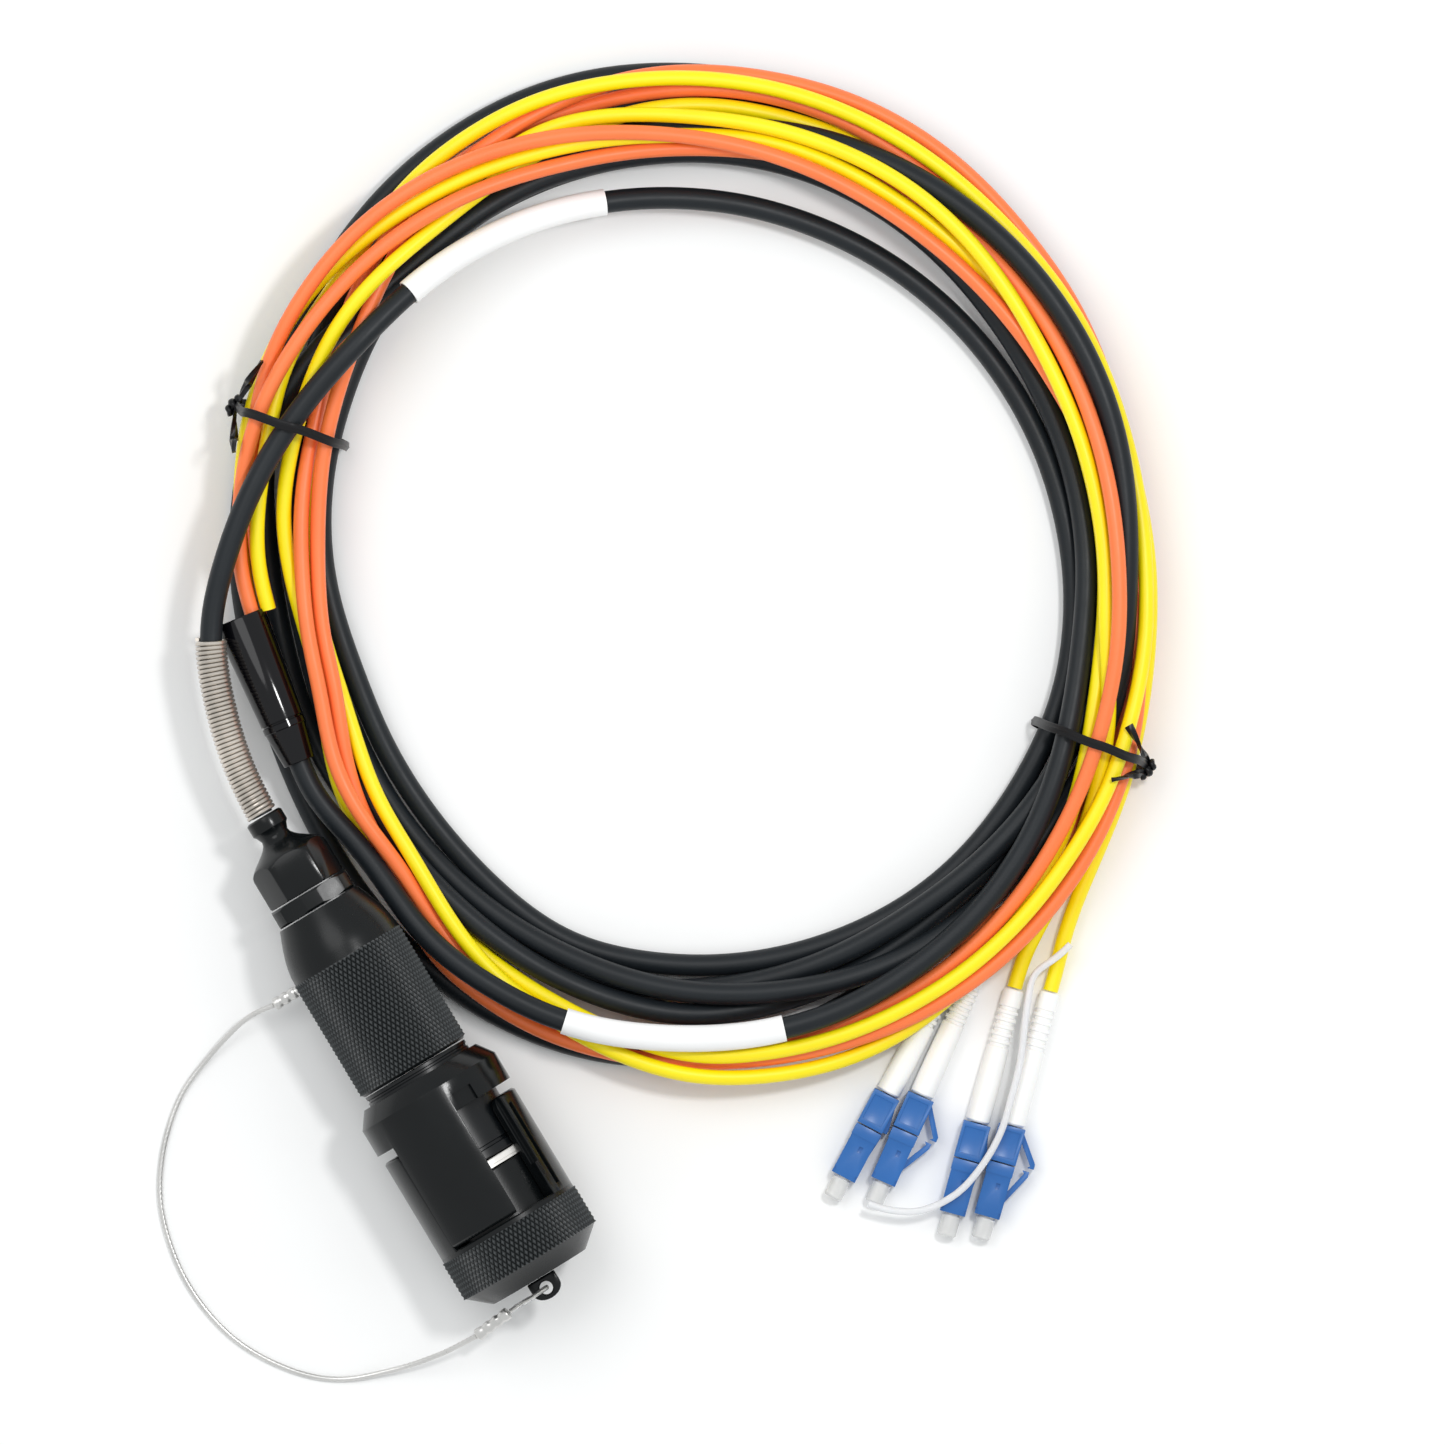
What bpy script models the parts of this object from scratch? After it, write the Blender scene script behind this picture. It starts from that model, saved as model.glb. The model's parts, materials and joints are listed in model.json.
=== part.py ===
"""Coiled fibre breakout cable: a trunk cable with an expanded-beam field connector and its dust cap on
one end, and a breakout with four fibre legs and small blue plugs on the other. Metres, +Z up, lying on
a level floor as seen from above: +X runs to the picture's right and +Y to its top."""

import math

import bmesh
import bpy
import numpy as np
from mathutils import Matrix, Vector

MM = 0.001

# Picture scale, the picture point over the model's origin, and the coil's centre in the picture
PX = 0.225 * MM
ORIGIN_PX = (656.74, 722.26)
COIL_CENTRE_PX = (690.0, 575.0)

# Cables
TRUNK_D = 5.0 * MM
LEG_D = 3.4 * MM
STRAND_GAP = 0.4 * MM
NOSE_STRAIGHT = 5.0 * MM

# Stations that the coil is settled at, and how its strands move in each round: the pull towards
# their route, the sinking, the evening out between stations, and the push out of each other
STATION_DEG = 9.0
SETTLE_ROUNDS = 1500
SINKING_SHARE = 0.8
ROUTE_PULL = 0.08
SINK_STEP = 0.01 * MM
EVEN_OUT = 0.15
LAST_EVEN_OUT = 0.01
OVER_PUSH = 1.3

# White label sleeves on the trunk
LABEL_OUTER_D = 6.1 * MM
LABEL_WALL = 0.3 * MM
LABEL_1_SPAN_DEG = (315.5, 347.3)
LABEL_2_SPAN_DEG = (2328.0, 2355.3)

# Field connector, lying on its coupling ring and cap ring
FIT_GAP = 0.3 * MM
CONNECTOR_START_PX = (265.0, 816.0)
CONNECTOR_DIRECTION = (0.515, 0.857)
INSERT_R = 13.4 * MM
JAW_BORE_R = INSERT_R + 0.6 * MM
RING_R = JAW_BORE_R + 3.3 * MM
SPRING_OUTER_D = 7.2 * MM
SPRING_WALL = 0.7 * MM
NECK_R = 4.4 * MM
NECK_LENGTH = 3.6 * MM
WAIST_R = 3.3 * MM
WAIST_LENGTH = 1.4 * MM
FLARE_LENGTH = 6.7 * MM
NUT_R = 9.4 * MM
NUT_LENGTH = 7.6 * MM
NUT_FLAT = 8.2 * MM
BAND_R = 10.1 * MM
BAND_LENGTH = 4.2 * MM
BAND_FLATS = 19.2 * MM
TAPER_LENGTH = 12.6 * MM
BARREL_R = 13.7 * MM
BARREL_LENGTH = 29.0 * MM
BARREL_CHAMFER = 0.6 * MM
COLLAR_LENGTH = 2.2 * MM
COLLAR_STEP = 0.5 * MM
RING_CHAMFER_R = RING_R - 2.7 * MM
RING_CHAMFER_LENGTH = 3.8 * MM
RING_LENGTH = 10.4 * MM
JAW_LENGTH = 26.4 * MM
JAW_CLEAR = 0.6 * MM
INSERT_REACH = 12.95 * MM
SEAL_LENGTH = 2.0 * MM
CAP_RING_LENGTH = 10.6 * MM
CAP_SHOULDER_R = RING_R - 4.7 * MM
CAP_SHOULDER_LENGTH = 3.6 * MM
CAP_END_R = CAP_SHOULDER_R - 0.6 * MM
CAP_END_LENGTH = 0.5 * MM
# Jaw sectors, in degrees from the top towards the coil
PLUG_JAW_DEG = (-49.0, 12.0)
CAP_JAW_DEG = (48.0, 130.0)
TURN_SEGMENTS = 32
# How far a window's floor stays off the ring's edge
WINDOW_STEP = 0.2 * MM

# Cap lug and steel lanyard
LUG_WIDTH = 7.0 * MM
LUG_LENGTH = 5.2 * MM
LUG_THICK = 2.4 * MM
LUG_HOLE_R = 1.5 * MM
ROPE_D = 1.2 * MM
LOOP_D = 1.1 * MM
FERRULE_D = 3.0 * MM
FERRULE_LENGTH = 8.0 * MM
# The ferrule at the grip barrel: distance from the gland, degrees round from the top, stand-off of its
# end's middle, and drop of its outer end
FERRULE_ALONG = 37.5 * MM
FERRULE_AROUND_DEG = -127.7
FERRULE_STAND_OFF = 1.4 * MM
FERRULE_DROP = 1.4 * MM

# Breakout: nose end and leg end of its axis in the picture, height of the axis, and radii
BREAKOUT_NOSE_PX = (300.0, 760.0)
BREAKOUT_LEG_END_PX = (262.0, 613.0)
BREAKOUT_HEIGHT = 11.7 * MM
NOSE_TIP_R = 3.6 * MM
NOSE_LENGTH = 8.0 * MM
NOSE_BASE_R = 4.9 * MM
BREAKOUT_SMALL_R = 5.0 * MM
BREAKOUT_LARGE_R = 6.2 * MM
LEG_SPACING = 3.8 * MM

# Small form factor fibre plug: the body's middle is on the axis, and the rear face is at zero
PLUG_REAR_LENGTH = 8.4 * MM
PLUG_REAR_WIDTH = 6.2 * MM
PLUG_REAR_HEIGHT = 5.6 * MM
PLUG_FRONT_LENGTH = 12.3 * MM
PLUG_FRONT_WIDTH = 5.8 * MM
PLUG_FRONT_HEIGHT = 4.8 * MM
PLUG_BORE_R = 2.0 * MM
PLUG_BORE_DEPTH = 6.0 * MM
LATCH_WIDTH = 2.6 * MM
LATCH_WALL = 1.0 * MM
LATCH_TIP_BACK = 0.3 * MM
LEVER_TIP_AHEAD = 0.3 * MM
GUARD_ROOT = 0.6 * MM
LEVER_ROOT = 3.4 * MM
LATCH_RISE_FREE = 4.2 * MM
LATCH_RISE_PRESSED = 1.0 * MM
BOOT_LENGTH = 31.0 * MM
BOOT_COLLAR = 8.0 * MM
BOOT_FRONT_R = 2.75 * MM
BOOT_REAR_R = 2.3 * MM
PIN_CAP_R = 1.7 * MM
PIN_CAP_HEAD_R = 2.1 * MM
PIN_CAP_HEAD_LENGTH = 5.0 * MM
PIN_CAP_BORE_R = 0.95 * MM
PIN_R = 0.625 * MM
PIN_STICKS_OUT = 3.2 * MM

# name: (rear centre px, nose centre px, latch rise, straight run of the leg behind its boot)
PLUGS = {
    "a": ((887.0, 1094.0), (843.4, 1176.0), LATCH_RISE_PRESSED, 8.5 * MM),
    "b": ((921.0, 1096.0), (883.0, 1181.0), LATCH_RISE_FREE, 5.0 * MM),
    "c": ((977.0, 1123.0), (953.0, 1210.0), LATCH_RISE_PRESSED, 5.0 * MM),
    "d": ((1012.0, 1126.0), (988.0, 1211.0), LATCH_RISE_FREE, 5.0 * MM),
}
LEG_PLUG = {"leg_orange_1": "a", "leg_orange_2": "b", "leg_yellow_2": "c", "leg_yellow_1": "d"}

# Twist ties and clear strap
TIE_D = 1.3 * MM
STRAP_D = 1.6 * MM
# Bands of the two ties, in degrees clockwise from the top, and how far each lifts the strands
TIE_LEFT_DEG = 290.5
TIE_RIGHT_DEG = 113.0
TIE_LIFT = {288.0: 2.4 * MM, 297.0: 1.6 * MM, 108.0: 2.0 * MM, 117.0: 2.0 * MM}

# Routes round the coil, chosen by hand: (degrees clockwise from the top, radius in px, rough height
# in mm). Degrees go on growing from turn to turn.
TRUNK_ROUTE = (
    # turn 0: from the spring, over everything at the left, then innermost on the floor
    (261, 487, 17.2), (270, 468, 16.5), (280, 448, 15), (290, 430, 14), (300, 415, 12), (310, 406, 8),
    (320, 399, 4), (330, 393, 1), (347, 382, 0), (360, 376, 0), (380, 370, 0), (400, 369, 0),
    (420, 372, 0), (440, 379, 0), (452, 386, 0), (470, 396, 0), (480, 399, 0), (500, 399, 0),
    (520, 395, 0), (540, 393, 0), (560, 393, 0), (570, 383, 0), (580, 372, 0), (590, 366, 0),
    (600, 364, 0), (612, 363, 0), (620, 369, 0),
    # turn 1: inner edge at the left, then outward under the others
    (630, 378, 0), (640, 387, 0), (650, 398, 0), (660, 408, 0), (670, 417, 0), (680, 422, 0),
    (720, 424, 0), (740, 427, 0), (760, 425, 0), (780, 421, 0), (795, 425, 0), (810, 432, 0),
    (825, 426, 0), (840, 418, 0), (860, 424, 0), (870, 430, 0), (890, 437, 0), (900, 439, 0),
    (910, 431, 0), (920, 420, 0), (930, 411, 1), (940, 405, 3), (955, 400, 5), (970, 398, 5),
    (980, 400, 5),
    # turn 2: comes out on top at the upper right, and crosses inward at the bottom
    (990, 404, 5), (1005, 416, 5), (1020, 430, 5), (1035, 440, 5), (1050, 447, 5), (1065, 452, 5),
    (1080, 455, 6), (1090, 458, 8), (1100, 458, 10), (1110, 456, 12), (1120, 454, 13), (1130, 451, 13),
    (1140, 447, 12), (1150, 443, 11), (1160, 437, 8), (1170, 435, 6), (1185, 438, 5), (1200, 440, 5),
    (1215, 441, 5), (1228, 440, 6), (1240, 433, 7), (1250, 425, 7), (1260, 418, 7), (1270, 410, 6),
    (1280, 402, 5), (1290, 396, 4), (1300, 391, 2), (1310, 388, 0), (1325, 387, 0), (1340, 390, 0),
    # turn 3: hidden until it shows outermost at the lower left
    (1350, 395, 0), (1362, 404, 0), (1374, 414, 0), (1386, 426, 0), (1400, 442, 0), (1415, 458, 0),
    (1430, 472, 0), (1440, 476, 0), (1455, 476, 0), (1470, 464, 0), (1485, 452, 0), (1500, 443, 0),
    (1515, 440, 0), (1530, 440, 3), (1545, 440, 4), (1560, 440, 3), (1570, 438, 1), (1580, 436, 0),
    (1590, 440, 0), (1600, 454, 0), (1610, 470, 0), (1620, 480, 0), (1630, 485, 0), (1640, 483, 0),
    (1650, 476, 0), (1660, 466, 0), (1670, 455, 0), (1680, 445, 0), (1690, 440, 0), (1700, 441, 0),
    # turn 4: outermost at the upper left
    (1706, 443, 0), (1722, 452, 0), (1740, 459, 0), (1750, 471, 0), (1760, 485, 0), (1770, 495, 0),
    (1780, 503, 0), (1790, 504, 0), (1800, 500, 0), (1815, 492, 0), (1830, 480, 0), (1845, 460, 2),
    (1860, 440, 5), (1875, 430, 5), (1890, 425, 5), (1905, 420, 4), (1920, 415, 2), (1935, 412, 0),
    (1950, 410, 0), (1965, 413, 0), (1980, 415, 0), (1990, 415, 0), (2000, 410, 0), (2015, 407, 0),
    (2030, 407, 0), (2045, 409, 0), (2060, 412, 0),
    # turn 5: the last one, which carries the second label and ends in the breakout
    (2068, 417, 1), (2080, 422, 3), (2095, 430, 5), (2110, 432, 6), (2130, 433, 6), (2150, 431, 5),
    (2160, 430, 4), (2175, 424, 4), (2190, 414, 3), (2200, 407, 1), (2210, 400, 0), (2220, 398, 0),
    (2230, 400, 0), (2240, 404, 0), (2250, 408, 2), (2260, 411, 4), (2270, 418, 5), (2280, 427, 6),
    (2290, 436, 7), (2300, 445, 7), (2310, 452, 7), (2320, 460, 7), (2328, 463, 8), (2355, 463, 9),
    (2360, 459, 9), (2370, 451, 8), (2380, 444, 7), (2390, 441.5, 6), (2394, 440.5, 7), (2403, 433, 11.7),
)
YELLOW_1_ROUTE = (
    (261, 423, 11.9), (266, 425, 12), (272, 432, 12), (280, 438, 11), (290, 441, 10), (300, 447, 9),
    (310, 457, 8), (320, 471, 7), (330, 482, 9), (340, 490, 10), (350, 493, 11), (360, 493, 11),
    (370, 490, 11), (380, 483, 11), (390, 473, 11), (400, 463, 10), (410, 456, 8), (420, 452, 7),
    (430, 448, 8), (440, 445, 10), (450, 443, 12), (460, 446, 13), (470, 452, 13), (480, 461, 13),
    (490, 469, 13), (500, 478, 12), (510, 483, 10), (520, 486, 9), (530, 485, 8), (540, 481, 8),
    (545, 474, 7), (550, 465, 6), (556, 456, 5), (560, 448, 6), (565, 441, 7), (570, 431, 8),
    (575, 421, 8), (580, 414, 7), (590, 408, 6), (600, 404, 6), (610, 402, 6), (626, 403, 7),
    (640, 413, 8), (650, 417, 8), (660, 424, 8), (668, 428, 9), (680, 431, 9), (690, 440, 8),
    (700, 450, 7), (710, 458, 6), (722, 464, 6), (735, 464, 6), (750, 460, 6), (765, 452, 6),
    (780, 448, 6), (800, 446, 6), (810, 449, 5), (819, 453, 4), (828, 463, 2), (837, 476, 0),
    (846, 492, 0), (855, 524, 0), (864, 575, 0),
)
YELLOW_2_ROUTE = (
    (261, 439.5, 8.1), (266, 439, 8.5), (275, 444, 9), (283, 450, 9), (290, 457, 9), (300, 460, 10),
    (310, 457, 11), (320, 453, 12), (330, 449, 12), (340, 443, 11), (350, 439, 9), (360, 437, 9),
    (370, 440, 11), (380, 436, 12), (390, 430, 12), (400, 425, 11), (410, 421, 9), (420, 418, 7),
    (430, 417, 6), (440, 418, 6), (450, 422, 6), (460, 430, 6), (470, 440, 7), (480, 452, 7),
    (490, 465, 6), (500, 480, 6), (507, 490, 6), (515, 500, 8), (520, 503, 9), (530, 502, 9),
    (540, 495, 9), (546, 486, 9), (550, 478, 9), (555, 469, 7), (560, 460, 6), (567, 448, 7),
    (572, 438, 8), (577, 427, 9), (582, 418, 10), (588, 406, 10), (595, 396, 9), (600, 388, 8),
    (607, 380, 7), (612, 378, 5), (620, 380, 5), (630, 385, 5), (640, 392, 5), (650, 402, 5),
    (660, 412, 6), (670, 422, 6), (680, 434, 6), (690, 450, 6), (698, 461, 8), (710, 459, 10),
    (720, 453, 12), (730, 450, 13), (740, 448, 13), (750, 445, 13), (760, 437, 13), (770, 428, 13),
    (780, 421, 12), (790, 418, 12), (800, 416, 12), (810, 417, 11), (819, 422, 9), (828, 438, 7),
    (837, 455, 4), (846, 474, 1), (855, 494, 0), (864, 545, 0),
)
ORANGE_1_ROUTE = (
    (261, 439.5, 11.9), (266, 442, 12), (272, 447, 13), (280, 451, 12), (287, 452, 12), (300, 447, 12),
    (310, 443, 12), (320, 436, 11), (330, 432, 11), (340, 429, 10), (350, 428, 9), (360, 427, 8),
    (370, 427, 7), (380, 430, 7), (390, 436, 8), (400, 442, 10), (410, 441, 12), (420, 439, 12),
    (430, 435, 12), (440, 432, 12), (450, 431, 12), (460, 433, 12), (470, 437, 12), (480, 445, 12),
    (490, 454, 11), (498, 462, 10), (506, 468, 9), (515, 472, 7), (525, 473, 5), (535, 471, 5),
    (545, 466, 4), (555, 456, 4), (563, 444, 6), (572, 433, 7), (580, 424, 8), (585, 419, 9),
    (592, 413, 9), (600, 408, 9), (605, 398, 9), (610, 390, 9), (618, 388, 9), (626, 390, 9),
    (635, 392, 9), (640, 397, 9), (650, 403, 9), (660, 413, 8), (668, 424, 7), (676, 438, 6),
    (684, 453, 6), (692, 465, 8), (698, 472, 10), (710, 475, 11), (720, 476, 11), (730, 475, 11),
    (740, 471, 10), (748, 465, 9), (756, 458, 7), (765, 448, 6), (780, 440, 6), (795, 437, 7),
    (810, 440, 7), (819, 446, 6), (828, 455, 4), (837, 461, 2), (846, 464, 1), (855, 466, 0),
    (864, 470, 0.6), (873, 512, 1.1),
)
ORANGE_2_ROUTE = (
    (261, 423, 8.1), (266, 424, 8.5), (275, 432, 9), (283, 442, 9), (292, 453, 10), (300, 461, 12),
    (310, 467, 14), (317, 468, 14), (323, 467, 14), (330, 464, 14), (340, 456, 14), (350, 445, 14),
    (358, 437, 14), (366, 430, 13), (374, 424, 12), (380, 419, 11), (390, 413, 10), (400, 409, 9),
    (410, 408, 9), (420, 408, 8), (430, 412, 6), (440, 420, 6), (450, 430, 6), (460, 442, 6),
    (468, 455, 6), (476, 466, 8), (480, 472, 9), (490, 483, 10), (500, 491, 9), (510, 495, 9),
    (520, 494, 7), (530, 491, 5), (540, 488, 4), (550, 484, 4), (555, 481, 5), (560, 476, 6),
    (565, 469, 6), (570, 462, 6), (575, 452, 5), (578, 443, 5), (582, 431, 6), (585, 420, 7),
    (590, 412, 8), (595, 404, 9), (600, 396, 9), (605, 387, 9), (610, 379, 9), (618, 376, 9),
    (626, 375, 9), (635, 377, 9), (640, 382, 9), (650, 393, 8), (658, 403, 7), (665, 414, 8),
    (675, 435, 9), (685, 455, 10), (695, 474, 9), (705, 490, 8), (712, 499, 9), (720, 502, 10),
    (730, 501, 11), (740, 498, 11), (750, 489, 11), (760, 474, 10), (768, 462, 9), (778, 454, 7),
    (790, 448, 6), (805, 444, 5), (819, 448, 5), (828, 456, 4), (837, 466, 2), (846, 474, 1),
    (855, 478, 0.5), (864, 489, 1.1),
)
# name: (route, first and last station angle, diameter)
STRANDS = {
    "trunk_cable": (TRUNK_ROUTE, 270, 2394, TRUNK_D),
    "leg_yellow_1": (YELLOW_1_ROUTE, 270, 855, LEG_D),
    "leg_yellow_2": (YELLOW_2_ROUTE, 270, 855, LEG_D),
    "leg_orange_1": (ORANGE_1_ROUTE, 270, 855, LEG_D),
    "leg_orange_2": (ORANGE_2_ROUTE, 270, 855, LEG_D),
}
# Stiff pieces that the strands lie round: start px, end px, height, radius, and stations. A radius
# grows a little where a straight piece cuts across the stations.
BLOCK_EXTRA = 0.5 * MM
BLOCKS = (
    (BREAKOUT_NOSE_PX, BREAKOUT_LEG_END_PX, BREAKOUT_HEIGHT, BREAKOUT_LARGE_R, (252, 261, 270)),
    (BREAKOUT_NOSE_PX, BREAKOUT_LEG_END_PX, BREAKOUT_HEIGHT, NOSE_BASE_R, (243, 252)),
    ((218.0, 690.0), (211.0, 641.0), RING_R, SPRING_OUTER_D / 2, (252, 261)),
    ((265.0, 816.0), (230.0, 738.0), RING_R, SPRING_OUTER_D / 2, (243, 252)),
    (CONNECTOR_START_PX, (335.0, 932.0), RING_R, NUT_R, (234, 243)),
    (CONNECTOR_START_PX, (335.0, 932.0), RING_R, (NUT_R + BARREL_R) / 2, (225, 234)),
    (CONNECTOR_START_PX, (335.0, 932.0), RING_R, BARREL_R, (216, 225)),
    ((953.0, 970.0), (887.0, 1094.0), BOOT_FRONT_R, BOOT_FRONT_R, (144, 153)),
    ((978.0, 968.0), (921.0, 1096.0), BOOT_FRONT_R, BOOT_FRONT_R, (144, 153)),
)


def settle_coil():
    """Lets the strands sink and push each other aside, as discs in the upright plane at each station.
    Returns name: (station angles, radii, heights)."""
    per_turn = int(round(360 / STATION_DEG))
    station, start, size, free, before, after, spans = [], [], [], [], [], [], {}

    def add_chain(rows, is_free):
        base = len(station)
        for i, (angle, radius, height, disc) in enumerate(rows):
            station.append(int(round(angle / STATION_DEG)) % per_turn)
            start.append((radius, height))
            size.append(disc)
            free.append(is_free and 0 < i < len(rows) - 1)
            before.append(base + max(i - 1, 0))
            after.append(base + min(i + 1, len(rows) - 1))
        return base

    for name, (route, first, last, diameter) in STRANDS.items():
        angles, radii, heights = (np.array(column, float) for column in zip(*route))
        grid = np.arange(first - STATION_DEG, last + STATION_DEG + 0.1, STATION_DEG)
        rows = []
        for angle in grid:
            disc = diameter / 2
            if name == "trunk_cable":
                for low, high in (LABEL_1_SPAN_DEG, LABEL_2_SPAN_DEG):
                    if low - STATION_DEG < angle < high + STATION_DEG:
                        disc = LABEL_OUTER_D / 2
            height = np.interp(angle, angles, heights) * MM
            if name != "trunk_cable" or 270 <= angle <= 2394:
                height += diameter / 2
            rows.append((angle, np.interp(angle, angles, radii) * PX, height, disc))
        spans[name] = (add_chain(rows, True), grid)
    block_start = len(station)
    for start_px, end_px, height, radius, angles in BLOCKS:
        rows = [(angle, crossing_radius(start_px, end_px, angle) * PX, height, radius + BLOCK_EXTRA)
                for angle in angles]
        add_chain(rows, False)

    station, size = np.array(station), np.array(size)
    free, before, after = np.array(free), np.array(before), np.array(after)
    want = np.array(start)
    points = want.copy()
    lift = np.array([TIE_LIFT.get(here * STATION_DEG, 0) for here in station])
    starts = {base + 1 for base, _ in spans.values()}
    left, right = [], []
    for here in range(per_turn):
        met = np.flatnonzero(station == here)
        for m, i in enumerate(met):
            for j in met[m + 1:]:
                leaves_block = i in starts and j >= block_start
                if (free[i] or free[j]) and not leaves_block:
                    left.append(i)
                    right.append(j)
    left, right = np.array(left), np.array(right)
    paired = (after[left] != left) & (after[right] != right)
    rounds = [(left, right, 0.0)] + [(left[paired], right[paired], share) for share in (0.25, 0.5, 0.75)]
    moves = free.astype(float)[:, None]
    for step in range(SETTLE_ROUNDS):
        pull, drop, gain = 0.0, 0.0, LAST_EVEN_OUT
        if step < SINKING_SHARE * SETTLE_ROUNDS:
            pull, drop, gain = ROUTE_PULL, SINK_STEP, EVEN_OUT
        off = points - want
        change = np.zeros_like(points)
        change[:, 0] = gain * ((off[before] + off[after]) / 2 - off)[:, 0] - pull * off[:, 0]
        change[:, 1] = gain * ((points[before, 1] + points[after, 1]) / 2 - points[:, 1]) - drop
        points = points + change * moves
        fix, hits = np.zeros_like(points), np.zeros(len(points))
        for first, second, share in rounds:
            here = points[first] - points[second]
            there = points[after[first]] - points[after[second]]
            apart = here * (1 - share) + there * share
            distance = np.maximum(np.linalg.norm(apart, axis=1), 1e-6)
            short = np.maximum(size[first] + size[second] + STRAND_GAP - distance, 0)
            push = apart / distance[:, None] * short[:, None] * 0.5
            for weight, ends in ((1 - share, (first, second)), (share, (after[first], after[second]))):
                for index, sign in zip(ends, (1, -1)):
                    np.add.at(fix, index, sign * weight * push)
                    np.add.at(hits, index, weight * (short > 0))
        points = points + fix / np.maximum(hits, 1)[:, None] * OVER_PUSH * moves
        points[:, 1] = np.where(free, np.maximum(points[:, 1], size + lift), points[:, 1])
    return {name: (grid[1:-1], points[base + 1:base + len(grid) - 1, 0],
                   points[base + 1:base + len(grid) - 1, 1]) for name, (base, grid) in spans.items()}


def crossing_radius(start_px, end_px, angle_deg):
    """How far from the coil's centre a straight axis crosses a station, in px."""
    start, run = Vector(start_px), Vector(end_px) - Vector(start_px)
    start -= Vector(COIL_CENTRE_PX)
    angle = math.radians(angle_deg)
    out = Vector((math.sin(angle), -math.cos(angle)))
    return start.cross(run) / out.cross(run)


def from_px(x, y, height):
    return Vector(((x - ORIGIN_PX[0]) * PX, (ORIGIN_PX[1] - y) * PX, height))


def from_polar(angle_deg, radius, height):
    """A point of the coil: degrees clockwise from the picture's top, and radius in metres."""
    centre = from_px(*COIL_CENTRE_PX, height)
    angle = math.radians(angle_deg)
    return centre + Vector((math.sin(angle) * radius, math.cos(angle) * radius, 0))


def make_material(name, colour, roughness, metallic=0.0):
    material = bpy.data.materials.new(name)
    material.use_nodes = True
    shader = material.node_tree.nodes["Principled BSDF"]
    shader.inputs["Base Color"].default_value = (*colour, 1)
    shader.inputs["Roughness"].default_value = roughness
    shader.inputs["Metallic"].default_value = metallic
    return material


def add_object(name, data, material, parent=None, collection=None):
    obj = bpy.data.objects.new(name, data)
    (collection or parts).objects.link(obj)
    obj.parent = parent
    if material:
        data.materials.append(material)
    return obj


def tube(name, points, diameter, material, resolution=2, wall=None):
    """A round cord along the points. With a wall it is an open sleeve of that outer diameter."""
    curve = bpy.data.curves.new(name, "CURVE")
    curve.dimensions = "3D"
    curve.bevel_depth = diameter / 2
    curve.bevel_resolution = resolution
    curve.use_fill_caps = wall is None
    spline = curve.splines.new("POLY")
    spline.points.add(len(points) - 1)
    for target, point in zip(spline.points, points):
        target.co = (*point, 1)
    obj = add_object(name, curve, material)
    if wall is not None:
        shell = obj.modifiers.new("Wall", "SOLIDIFY")
        shell.thickness = wall
        shell.offset = -1
    return obj


def smooth_points(route, spacing):
    """Evenly spaced points on a smooth curve through the route's points."""
    ends = [route[0] * 2 - route[1]] + list(route) + [route[-1] * 2 - route[-2]]
    dense = [route[0]]
    for i in range(1, len(ends) - 2):
        p0, p1, p2, p3 = ends[i - 1:i + 3]
        for k in range(1, 13):
            t = k / 12
            dense.append(0.5 * (2 * p1 + (p2 - p0) * t + (2 * p0 - 5 * p1 + 4 * p2 - p3) * t * t
                                + (3 * p1 - p0 - 3 * p2 + p3) * t ** 3))
    total = sum((b - a).length for a, b in zip(dense, dense[1:]))
    count = max(2, round(total / spacing))
    step, walked, wanted, points = total / count, 0.0, total / count, [dense[0]]
    for a, b in zip(dense, dense[1:]):
        length = (b - a).length
        while len(points) < count and wanted <= walked + length:
            points.append(a.lerp(b, (wanted - walked) / length))
            wanted += step
        walked += length
    points.append(dense[-1])
    return points


def turned(name, profile, material, parent, segments=TURN_SEGMENTS, closed=False):
    """A turned piece: the profile holds (radius, height) pairs, down its outer side from the top."""
    mesh = bpy.data.meshes.new(name)
    count = len(profile)
    edges = [(i, i + 1) for i in range(count - 1)]
    if closed:
        edges.append((count - 1, 0))
    mesh.from_pydata([(radius, 0, height) for radius, height in profile], edges, [])
    obj = add_object(name, mesh, material, parent)
    screw = obj.modifiers.new("Turn", "SCREW")
    screw.steps = screw.render_steps = segments
    screw.use_merge_vertices = True
    screw.merge_threshold = 0.00001
    screw.use_smooth_shade = True
    return obj


def boolean(obj, cutter, operation="DIFFERENCE"):
    modifier = obj.modifiers.new(cutter.name, "BOOLEAN")
    modifier.operation = operation
    modifier.object = cutter


def hide_cutter(obj):
    obj.hide_render = True
    obj.display_type = "WIRE"
    return obj


def prism(name, outline, low, high, plane="XY", parent=None):
    """A hidden solid on a flat outline, from low to high across its plane."""
    work = bmesh.new()
    if plane == "XY":
        corners = [work.verts.new((u, v, low)) for u, v in outline]
        rise = Vector((0, 0, high - low))
    else:
        corners = [work.verts.new((u, low, v)) for u, v in outline]
        rise = Vector((0, high - low, 0))
    face = work.faces.new(corners)
    grown = bmesh.ops.extrude_face_region(work, geom=[face])
    moved = [item for item in grown["geom"] if isinstance(item, bmesh.types.BMVert)]
    bmesh.ops.translate(work, verts=moved, vec=rise)
    bmesh.ops.recalc_face_normals(work, faces=work.faces)
    mesh = bpy.data.meshes.new(name)
    work.to_mesh(mesh)
    work.free()
    return hide_cutter(add_object(name, mesh, None, parent, cutters))


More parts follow.
